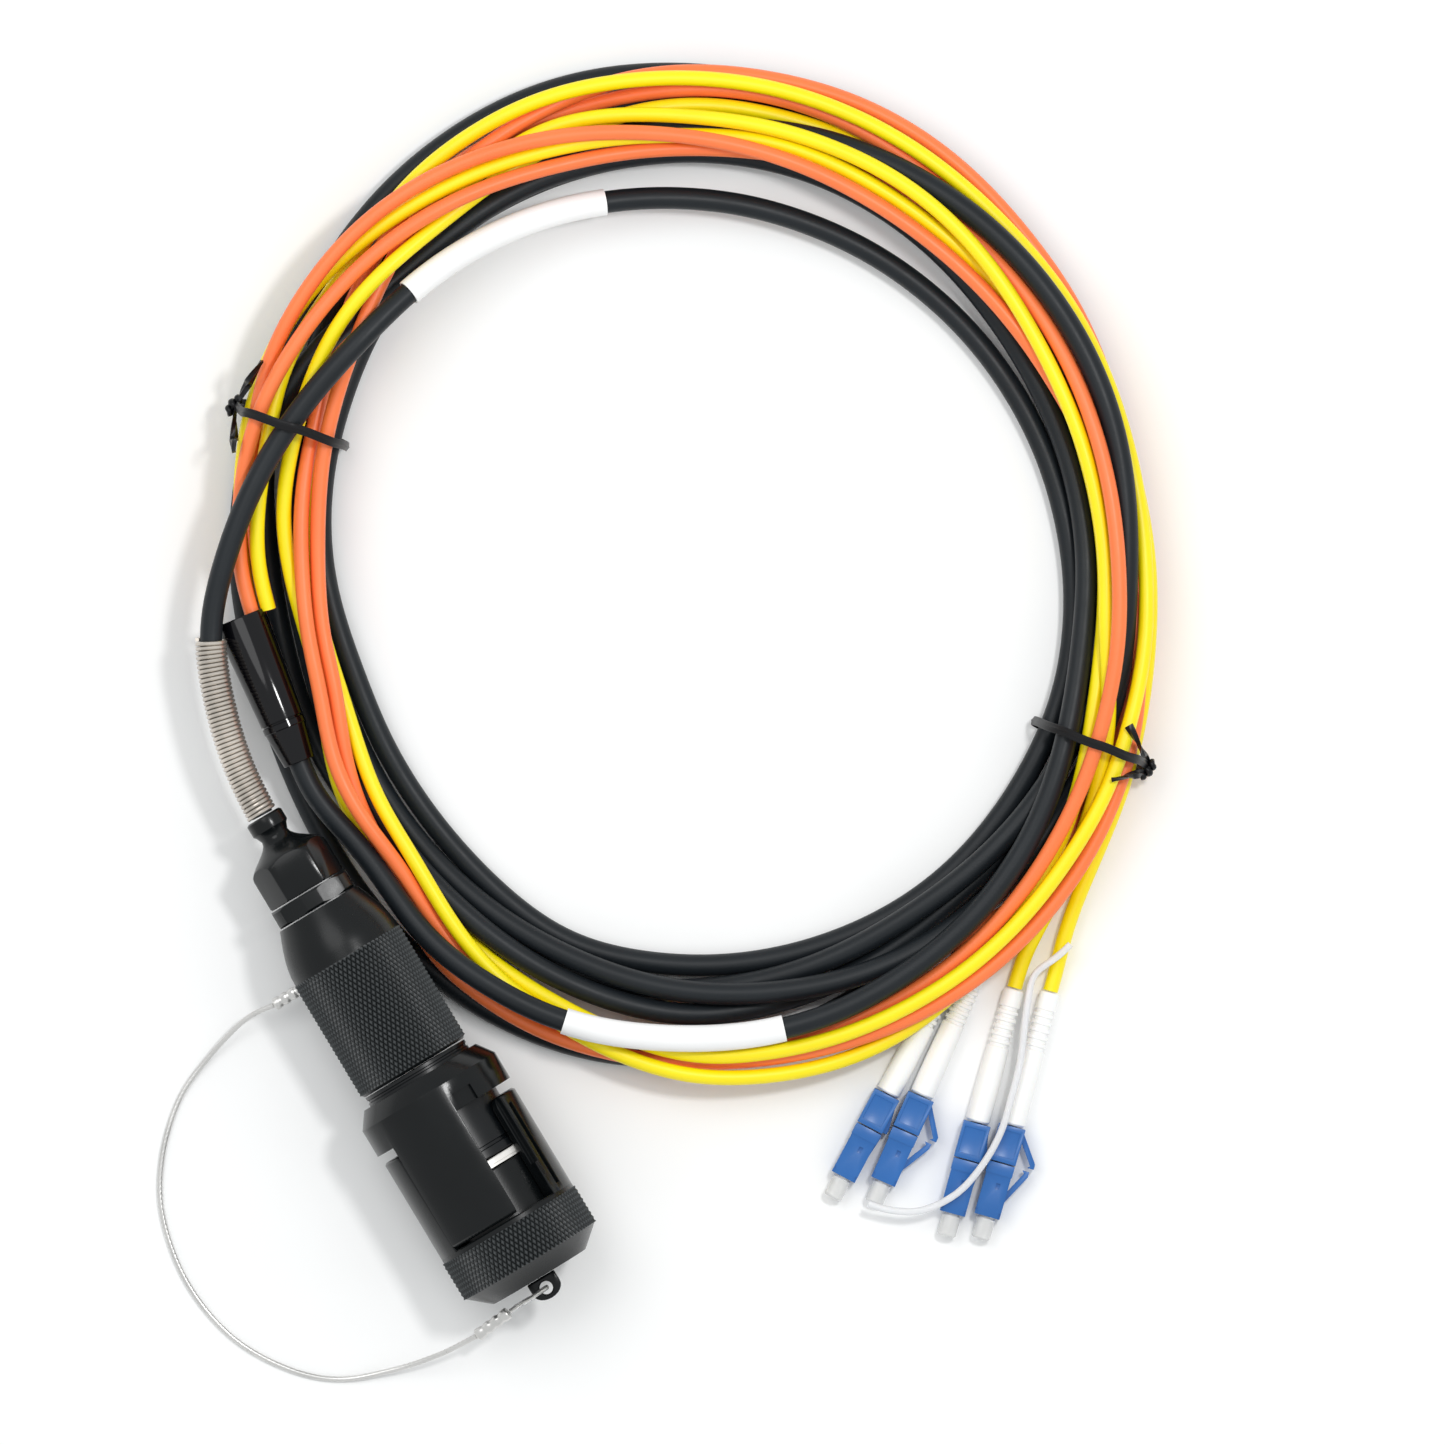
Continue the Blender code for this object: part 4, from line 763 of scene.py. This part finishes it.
def add_cap():
    low = connector.span("interface_seal")[1] + FIT_GAP
    high = connector.span("dust_cap")[1]
    jaw_low = connector.span("coupling_ring")[0] + RING_LENGTH + JAW_STAND_OFF
    base_low = connector.span("coupling_ring")[1] + 0.6 * MM
    base_high = base_low + CAP_RING_LENGTH
    inner = [(0, low), (INSERT_R - 0.3 * MM, low), (INSERT_R, low + 0.3 * MM), (INSERT_R, base_low)]
    rim = RING_R - 0.4 * MM
    base = [(rim - 0.3 * MM, base_low), (rim, base_low + 0.3 * MM), (rim, base_low + 1.2 * MM)]
    end = [(RING_R - 0.5 * MM, base_high), (CAP_SHOULDER_R, base_high + CAP_SHOULDER_LENGTH),
           (CAP_END_R, high), (0, high)]
    knurl = (base_low + 1.3 * MM, base_high - 0.1 * MM)
    solid = knurled(inner + base, end, RING_R, *knurl)
    cap = add_piece("knurled_cap", *solid, knurled_black, "black_anodised", "cap", ["dust_cap"],
                    connector.matrix, 28)
    # Paints a highlight on the cap's knurl crests.
    mark_painted_highlight(cap, RING_R, *knurl)
    for count, turn in enumerate((0, 180)):
        span = (CAP_JAW_DEG[0] + turn, CAP_JAW_DEG[1] + turn)
        groove = sector(CAP_JAW_R - 1.0 * MM, 2 * RING_R, (span[0] + 9, span[0] + 14),
                        jaw_low + 2.5 * MM, base_low - 1.5 * MM)
        step = sector(CAP_JAW_R - 1.4 * MM, 2 * RING_R, (span[0] - 2, span[0] + 4), jaw_low - MM,
                      base_low - 8.0 * MM)
        body = plate(JAW_BORE_R, CAP_JAW_R, span, jaw_low, base_low + 0.3 * MM, 2.2 * MM)
        jaw = shaped(f"cap_jaw_{count + 1}", body, connector.matrix, cuts=[groove, step], edge=0.2 * MM)
        dress(jaw, black_anodised, "cap", (), 30)

    lug_low, lug_high = connector.span("cap_lug")
    half, thick = 3.5 * MM, 1.2 * MM
    bend = [(half * math.sin(math.radians(a)), lug_high - half * (1 - math.cos(math.radians(a))) * 0.72)
            for a in range(-90, 91, 15)]
    outline = [(-half, lug_low)] + bend + [(half, lug_low)]
    eye = [(1.5 * MM * math.cos(math.pi * i / 12), (lug_low + lug_high) / 2 + 1.5 * MM
            * math.sin(math.pi * i / 12)) for i in range(24)]
    lug = shaped("cap_lug_eye", prism(outline, -thick, thick, "XZ"), connector.matrix,
                 cuts=[prism(eye, -2 * thick, 2 * thick, "XZ")], edge=0.4 * MM, segments=3)
    dress(lug, black_anodised, "cap", ["cap_lug"], 30)


def add_cords():
    """The trunk from the gland to the breakout, and the four legs from the breakout to their boots."""
    line = centreline("trunk_cable", connector.start)
    trunk_path = lying(spline_through(line, CORD_SPACING), TRUNK_D / 2, TRUNK_BLUR)
    trunk = add_tube("trunk_jacket", trunk_path, TRUNK_D / 2, TRUNK_SIDES, black_jacket,
                     "black_jacket", "cable", ["trunk_cable"])
    tail = Vector(trunk_path[-1])
    ahead = (tail - Vector(trunk_path[-2])).normalized()
    breakout = Axis(tail, ahead, "breakout_nose")
    shells = add_breakout(breakout)
    labels = add_labels(trunk_path)
    add_spring(trunk_path)
    wide_end = breakout.at(breakout.span("breakout_body")[1])
    for name, letter in LEGS.items():
        path = lying(spline_through(centreline(name, wide_end), CORD_SPACING), LEG_D / 2, LEG_BLUR)
        yellow = "yellow" in name
        jacket = yellow_jacket if yellow else orange_jacket
        slot = "yellow_jacket" if yellow else "orange_jacket"
        leg = add_tube(name + "_jacket", path, LEG_D / 2, LEG_SIDES, jacket, slot, "cable", [name])
        pieces = add_plug(letter)


def add_breakout(axis):
    low, high = axis.span("breakout_body")
    nose_high = axis.span("breakout_nose")[1]
    small, large, bore = BREAKOUT_FRONT_R, BREAKOUT_END_R, BREAKOUT_END_R - BREAKOUT_WALL
    groove = low + 1.6 * MM
    profile = [(0, low), (small - 0.3 * MM, low), (small, low + 0.3 * MM), (small, groove),
               (small - 0.35 * MM, groove + 0.15 * MM), (small - 0.35 * MM, groove + 0.45 * MM),
               (small + 0.05 * MM, groove + 0.6 * MM), (large, high - 0.4 * MM),
               (large - 0.2 * MM, high), (bore, high), (bore - 0.1 * MM, high - 0.8 * MM),
               (0, high - 0.8 * MM)]
    body = add_piece("breakout_shell", *turned(profile, 64), gloss_black, "gloss_black", "cable",
                     ["breakout_body"], axis.matrix, 30)
    profile = eased([(0, 0), (CONE_TIP_R, 0), (CONE_BASE_R, nose_high - 0.4 * MM),
                     (CONE_BASE_R - 0.4 * MM, nose_high), (0, nose_high)], 0.3 * MM)
    nose = add_piece("breakout_cone", *turned(profile, 64), gloss_black, "gloss_black", "cable",
                     ["breakout_nose"], axis.matrix, 30)
    return [body, nose]


def add_labels(trunk_path):
    """Two bare white wrap labels, which follow the trunk between their nodes' ends."""
    labels = []
    for count in (1, 2):
        node = f"label_sleeve_{count}"
        fine = spline_through(stretch(trunk_path, node), 1.0 * MM)
        sides = 40
        turn = np.linspace(0, 2 * math.pi, sides, endpoint=False)
        along = np.linspace(0, 1, len(fine))[:, None]
        outer = LABEL_R + LABEL_WAVE * np.sin(9 * along + 3 * turn) + LABEL_SEAM * (turn < 1.9)
        labels.append(add_sleeve(f"wrap_label_{count}", fine, outer, LABEL_BORE_R, white_label,
                                 "white_label", "cable", [node], sides))
    return labels


def add_spring(trunk_path):
    """A close-wound spring round the trunk's first stretch."""
    axis = spline_through(stretch(trunk_path, "spring_relief"), 0.25 * MM)
    length = path_length(axis)
    turns = int(length / WIRE_PITCH)
    steps = turns * SPRING_STEPS
    marks = np.linspace(0, 1, len(axis))
    wanted = np.linspace(WIRE_D / 2 / length, 1 - WIRE_D / 2 / length, steps + 1)
    centre = np.stack([np.interp(wanted, marks, axis[:, k]) for k in range(3)], axis=1)
    side, up = frames_along(centre)
    angle = np.linspace(0, 2 * math.pi * turns, steps + 1)[:, None]
    coil_r = SPRING_OUTER_R - WIRE_D / 2
    path = centre + coil_r * (side * np.cos(angle) + up * np.sin(angle))
    add_tube("wound_spring", path, WIRE_D / 2, 10, spring_steel, "spring_steel", "cable",
             ["spring_relief"])


def latch_arm(rise, free_end, root, side):
    """A thin straight arm beside a plug, from its root on the body to its raised hooked end."""
    lean = math.copysign(1.0, root - free_end)
    start = Vector((side - 0.3 * MM, root))
    tip = Vector((side + rise, free_end + lean * LATCH_WALL))
    along = (tip - start).normalized()
    inward = Vector((-along.y, along.x)) * -lean * LATCH_WALL
    hook = Vector((side + rise, free_end))
    return [tuple(point) for point in (start, tip, hook, hook - Vector((1.3 * LATCH_WALL, 0)),
                                       tip + inward, start + inward)]


def add_plug(letter):
    """One small blue plug on its side, with its latch, boot, ferrule and dust cap."""
    joint = joint_of(f"pin_cap_{letter}")
    axis = Axis(middle(f"plug_pin_{letter}"), joint["axis"], f"plug_shell_{letter}")
    rise = LATCH_RISE[letter]
    low, high = axis.span(f"plug_shell_{letter}")
    solid = block((SHELL_WIDTH, SHELL_HEIGHT, high - low), (0, 0, (low + high) / 2))
    arm = latch_arm(rise, high - 0.3 * MM, 0.6 * MM, SHELL_WIDTH / 2)
    panels = [block((SHELL_WIDTH - 1.6 * MM, 0.4 * MM, high - low - 2.4 * MM),
                    (-0.1 * MM, side * SHELL_HEIGHT / 2, (low + high) / 2)) for side in (-1, 1)]
    shell = shaped(f"shell_{letter}", solid, axis.matrix, cuts=panels,
                   joins=[prism(arm, -LATCH_WIDTH / 2, LATCH_WIDTH / 2, "XZ")], edge=0.18 * MM)
    dress(shell, plug_blue, "cable", [f"plug_shell_{letter}"], 30)

    front_low, front_high = axis.span(f"plug_housing_{letter}")
    width, height = HOUSING_WIDTH, HOUSING_HEIGHT
    solid = block((width, height, front_high - front_low), (0, 0, (front_low + front_high) / 2))
    lever = latch_arm(rise - LATCH_WALL / 2, front_low + 0.2 * MM, front_high - 3.4 * MM, width / 2)
    thin = LATCH_WIDTH / 2 - 0.2 * MM
    collar = block((width + 0.3 * MM, height + 0.3 * MM, 2.6 * MM), (0, 0, front_low + 1.3 * MM))
    window = block((0.9 * MM, 0.8 * MM, 1.4 * MM), (0.5 * MM, height / 2, front_low + 5.2 * MM))
    hollow = turned([(0, front_high - 6 * MM), (2.0 * MM, front_high - 6 * MM),
                     (2.0 * MM, front_high + MM), (0, front_high + MM)], 40)
    notches = [block((1.0 * MM, 0.8 * MM, 2.6 * MM), (side * width / 2, height / 2, front_high))
               for side in (-1, 1)]
    housing = shaped(f"housing_{letter}", solid, axis.matrix, cuts=[window, hollow] + notches,
                     joins=[collar, prism(lever, -thin, thin, "XZ")], edge=0.16 * MM)
    dress(housing, plug_blue, "cable", [f"plug_housing_{letter}"], 30)

    boot_low, boot_high = axis.span(f"plug_boot_{letter}")
    profile = [(0, boot_high), (BOOT_FRONT_R - 0.4 * MM, boot_high),
               (BOOT_FRONT_R, boot_high - 0.4 * MM), (BOOT_FRONT_R, boot_high - 7.7 * MM)]
    neck = boot_high - 17.5 * MM
    for i in range(RIB_COUNT):
        top = neck - RIB_PITCH * i
        reach = BOOT_FRONT_R + (BOOT_REAR_R - BOOT_FRONT_R) * (boot_high - 8 * MM - top) / (23 * MM)
        profile += [(reach, top), (reach - RIB_DEPTH, top - 0.2 * MM),
                    (reach - RIB_DEPTH, top - 0.8 * MM), (reach, top - 1.0 * MM)]
    profile += [(BOOT_REAR_R, boot_low + 0.3 * MM), (BOOT_REAR_R - 0.3 * MM, boot_low), (0, boot_low)]
    boot = add_piece(f"boot_{letter}", *turned(profile[::-1], 48), white_plastic, "white_plastic",
                     "cable", [f"plug_boot_{letter}"], axis.matrix, 30)

    pin_low, pin_high = axis.span(f"plug_pin_{letter}")
    profile = [(0, pin_low), (FERRULE_R, pin_low), (FERRULE_R, pin_high - 0.3 * MM),
               (0.45 * MM, pin_high), (0, pin_high)]
    pin = add_piece(f"ferrule_{letter}", *turned(profile, 32), white_ceramic, "white_ceramic", "cable",
                    [f"plug_pin_{letter}"], axis.matrix, 30)

    cap_low, cap_high = axis.span(f"plug_cap_{letter}")
    head_low = cap_high - 5.0 * MM
    profile = [(0, cap_high), (PIN_CAP_R - 0.4 * MM, cap_high), (PIN_CAP_R, cap_high - 0.4 * MM),
               (PIN_CAP_R, head_low + 0.3 * MM), (1.8 * MM, head_low), (1.7 * MM, head_low),
               (1.6 * MM, cap_low), (PIN_CAP_BORE_R, cap_low), (PIN_CAP_BORE_R, pin_high + FIT_GAP),
               (0, pin_high + FIT_GAP)]
    add_piece(f"pin_cap_cover_{letter}", *turned(profile[::-1], 40), clear_plastic, "clear_plastic",
              f"pin_cap_{letter}", [f"plug_cap_{letter}"], axis.matrix, 30)
    return [boot, shell, housing, pin, frame["nodes"][f"plug_cap_{letter}"]]


def add_lanyard():
    """Twisted steel rope between two crimped ferrules, and the clear sleeved loop in the cap's lug."""
    lug = middle("cap_lug")
    cap_ferrule = centreline("lanyard_ferrule_cap", lug)
    rope_line = centreline("lanyard_rope", cap_ferrule[-1])
    body_ferrule = centreline("lanyard_ferrule_body", rope_line[-1])
    for name, line, body in (("lanyard_ferrule_cap", cap_ferrule, "cap"),
                             ("lanyard_ferrule_body", body_ferrule, "cable")):
        path = spline_through([line[0], line[0].lerp(line[-1], 0.5), line[-1]], 0.25 * MM)
        along = np.linspace(0, 1, len(path))
        crimps = sum(np.exp(-((along - place) / 0.07) ** 2) for place in (0.25, 0.5, 0.75))
        radii = CRIMP_R - 0.28 * MM * crimps - 0.25 * MM * (np.abs(along - 0.5) > 0.485)
        add_tube(name + "_crimped", path, radii, 28, bright_metal, "bright_metal", body, [name], 0.8)

    path = spline_through(rope_line, 0.4 * MM)
    path[:, 2] = np.maximum(path[:, 2], ROPE_D / 2)
    sides = 36
    walked = np.linspace(0, path_length(path), len(path))[:, None]
    turn = np.linspace(0, 2 * math.pi, sides, endpoint=False)
    lobes = np.abs(np.cos(3 * (turn - 2 * math.pi * walked / ROPE_LAY)))
    rope = add_tube("twisted_rope", path, ROPE_D / 2 * (0.8 + 0.2 * lobes ** 0.6), sides, bright_metal,
                    "bright_metal", None, ["lanyard_rope"])
    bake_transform(rope)

    mouth = Vector(cap_ferrule[0])
    away = (cap_ferrule[0] - cap_ferrule[-1]).normalized()
    mouth += away * 2 * FIT_GAP
    back = (mouth - lug) * Vector((1, 1, 0))
    back.normalize()
    # How far the loop rises from the lug's middle as it goes round its edge
    rim = 2.3 * MM
    upper = [mouth, mouth + away * 2 * MM, lug + back * 4.6 * MM, lug + back * 1.2 * MM, lug]
    rise = [0.8 * MM, 0.8 * MM, rim - 0.3 * MM, rim, rim - 0.7 * MM]
    loop = [point + UP * high for point, high in zip(upper, rise)] + [lug]
    loop += [point - UP * high for point, high in zip(upper[::-1], rise[::-1])]
    line = spline_through(loop, 0.4 * MM)
    add_tube("loop_wire", line, LOOP_WIRE_R, 12, bright_metal, "bright_metal", "cap")
    add_sleeve("loop_sleeve", line, LOOP_SLEEVE_R, LOOP_BORE_R, clear_sleeve, "clear_sleeve", "cap",
               ["lanyard_loop"], 20)


def ribbon(path, side, start, twist, width, thick):
    """Vertices and faces of a flat tie with a round wire along its middle. Its width lies along the
    side vector at the start point and is carried both ways from there, with a twist at each point."""
    ahead = np.gradient(path, axis=0)
    ahead /= np.linalg.norm(ahead, axis=1)[:, None]
    across = np.zeros_like(path)
    for order in (range(start, len(path)), range(start, -1, -1)):
        now = np.array(side, float)
        for i in order:
            now = now - ahead[i] * now.dot(ahead[i])
            now = now / np.linalg.norm(now)
            across[i] = now
    upward = np.cross(ahead, across)
    sides = 20
    turn = np.linspace(0, 2 * math.pi, sides, endpoint=False)
    flat = width / 2 * np.cos(turn)
    rise = (thick / 2 + TIE_RIDGE * np.exp(-(flat / (0.3 * MM)) ** 2)) * np.sin(turn)
    cos, sin = np.cos(twist)[:, None], np.sin(twist)[:, None]
    vertices = (path[:, None, :] + across[:, None, :] * (flat * cos - rise * sin)[:, :, None]
                + upward[:, None, :] * (flat * sin + rise * cos)[:, :, None])
    faces = skin(len(path), sides)
    faces += [tuple(range(sides))[::-1], tuple(range((len(path) - 1) * sides, len(path) * sides))]
    return vertices.reshape(-1, 3), faces


def add_ties():
    """Two flat wire ties round the coil, each with a twisted knot at the coil's outer side."""
    coil = middle("trunk_cable")
    for side in ("left", "right"):
        node = f"twist_tie_{side}"
        path = spline_through(centreline(node, coil), TIE_SPACING)
        path[:, 2] = np.maximum(path[:, 2], 0.65 * MM)
        inner = int(np.argmin(np.linalg.norm(path[:, :2] - np.array(coil[:2]), axis=1)))
        out = Vector(path[inner]) - coil
        tangent = UP.cross(Vector((out.x, out.y, 0)).normalized())
        looped = np.flatnonzero(np.abs((path - path[inner]) @ np.array(tangent)) < TIE_TAIL)
        first, last = int(looped[0]), int(looped[-1])
        count = np.arange(len(path))
        twist = (np.minimum(count - first, 0) + np.maximum(count - last, 0)) * TIE_SPACING / TIE_TWIST
        solid = ribbon(path, tangent, inner, twist, TIE_WIDTH, TIE_THICK)
        add_piece(f"tie_{side}_wire", *solid, black_plastic, "black_plastic", "cable", [node])

        centre = (path[first] + path[last]) / 2
        aside = Vector(centre) - coil
        aside = Vector((aside.x, aside.y, 0)).normalized()
        turns = np.linspace(0, 2 * math.pi * KNOT_TURNS, KNOT_STEPS)
        reaches = KNOT_COIL_R * np.sin(np.linspace(0, math.pi, KNOT_STEPS)) ** 0.5
        lengthwise = np.linspace(-KNOT_LENGTH / 2, KNOT_LENGTH / 2, KNOT_STEPS)
        lean = (tangent + aside * 0.3).normalized()
        knot = [Vector(centre) + aside * 0.7 * MM + lean * far
                + (aside * math.cos(angle) + UP * math.sin(angle)) * reach
                for far, angle, reach in zip(lengthwise, turns, reaches)]
        lumps = KNOT_R + 0.12 * MM * np.sin(np.linspace(0, 21, KNOT_STEPS))
        add_tube(f"tie_{side}_knot", knot, lumps, 12, black_plastic, "black_plastic", "cable")


def add_strap():
    """The soft clear strap over the plugs."""
    path = spline_through(centreline("clear_strap", middle("leg_yellow_1")), 0.8 * MM)
    strap = add_tube("soft_strap", path, STRAP_D / 2, 16, milky_strap, "clear_plastic", "cable",
                     ["clear_strap"], 0.75)


# Camera, floor and light

def add_camera():
    data = bpy.data.cameras.new("camera")
    data.lens = LENS
    data.sensor_width = SENSOR
    camera = bpy.data.objects.new("camera", data)
    camera.location = VIEW_CENTRE + UP * (VIEW_WIDTH * LENS / SENSOR)
    bpy.context.scene.collection.objects.link(camera)
    bpy.context.scene.camera = camera


def add_studio():
    floor_material = make_material("pale_floor", (0.95, 0.95, 0.945), 0.8, grain=(90.0, 0.02),
                                   mottle=0.005)
    bpy.ops.mesh.primitive_plane_add(size=6.0, location=(0, 0, 0))
    floor = bpy.context.object
    floor.name = "floor"
    floor.data.materials.append(floor_material)
    world = bpy.data.worlds.new("studio")
    bpy.context.scene.world = world
    world.use_nodes = True
    background = world.node_tree.nodes["Background"]
    background.inputs["Color"].default_value = SKY_COLOUR
    background.inputs["Strength"].default_value = SKY_STRENGTH
    for name, (place, size, power) in LIGHTS.items():
        data = bpy.data.lights.new(name, "AREA")
        data.shape = "DISK"
        data.size = size
        data.energy = power
        light = bpy.data.objects.new(name, data)
        light.location = place
        light.rotation_euler = (-Vector(place)).to_track_quat("-Z", "Y").to_euler()
        bpy.context.scene.collection.objects.link(light)
    bpy.context.scene.view_settings.view_transform = "Standard"


add_camera()
add_cords()
add_connector()
add_coupling()
add_cap()
add_lanyard()
add_ties()
add_strap()
add_studio()
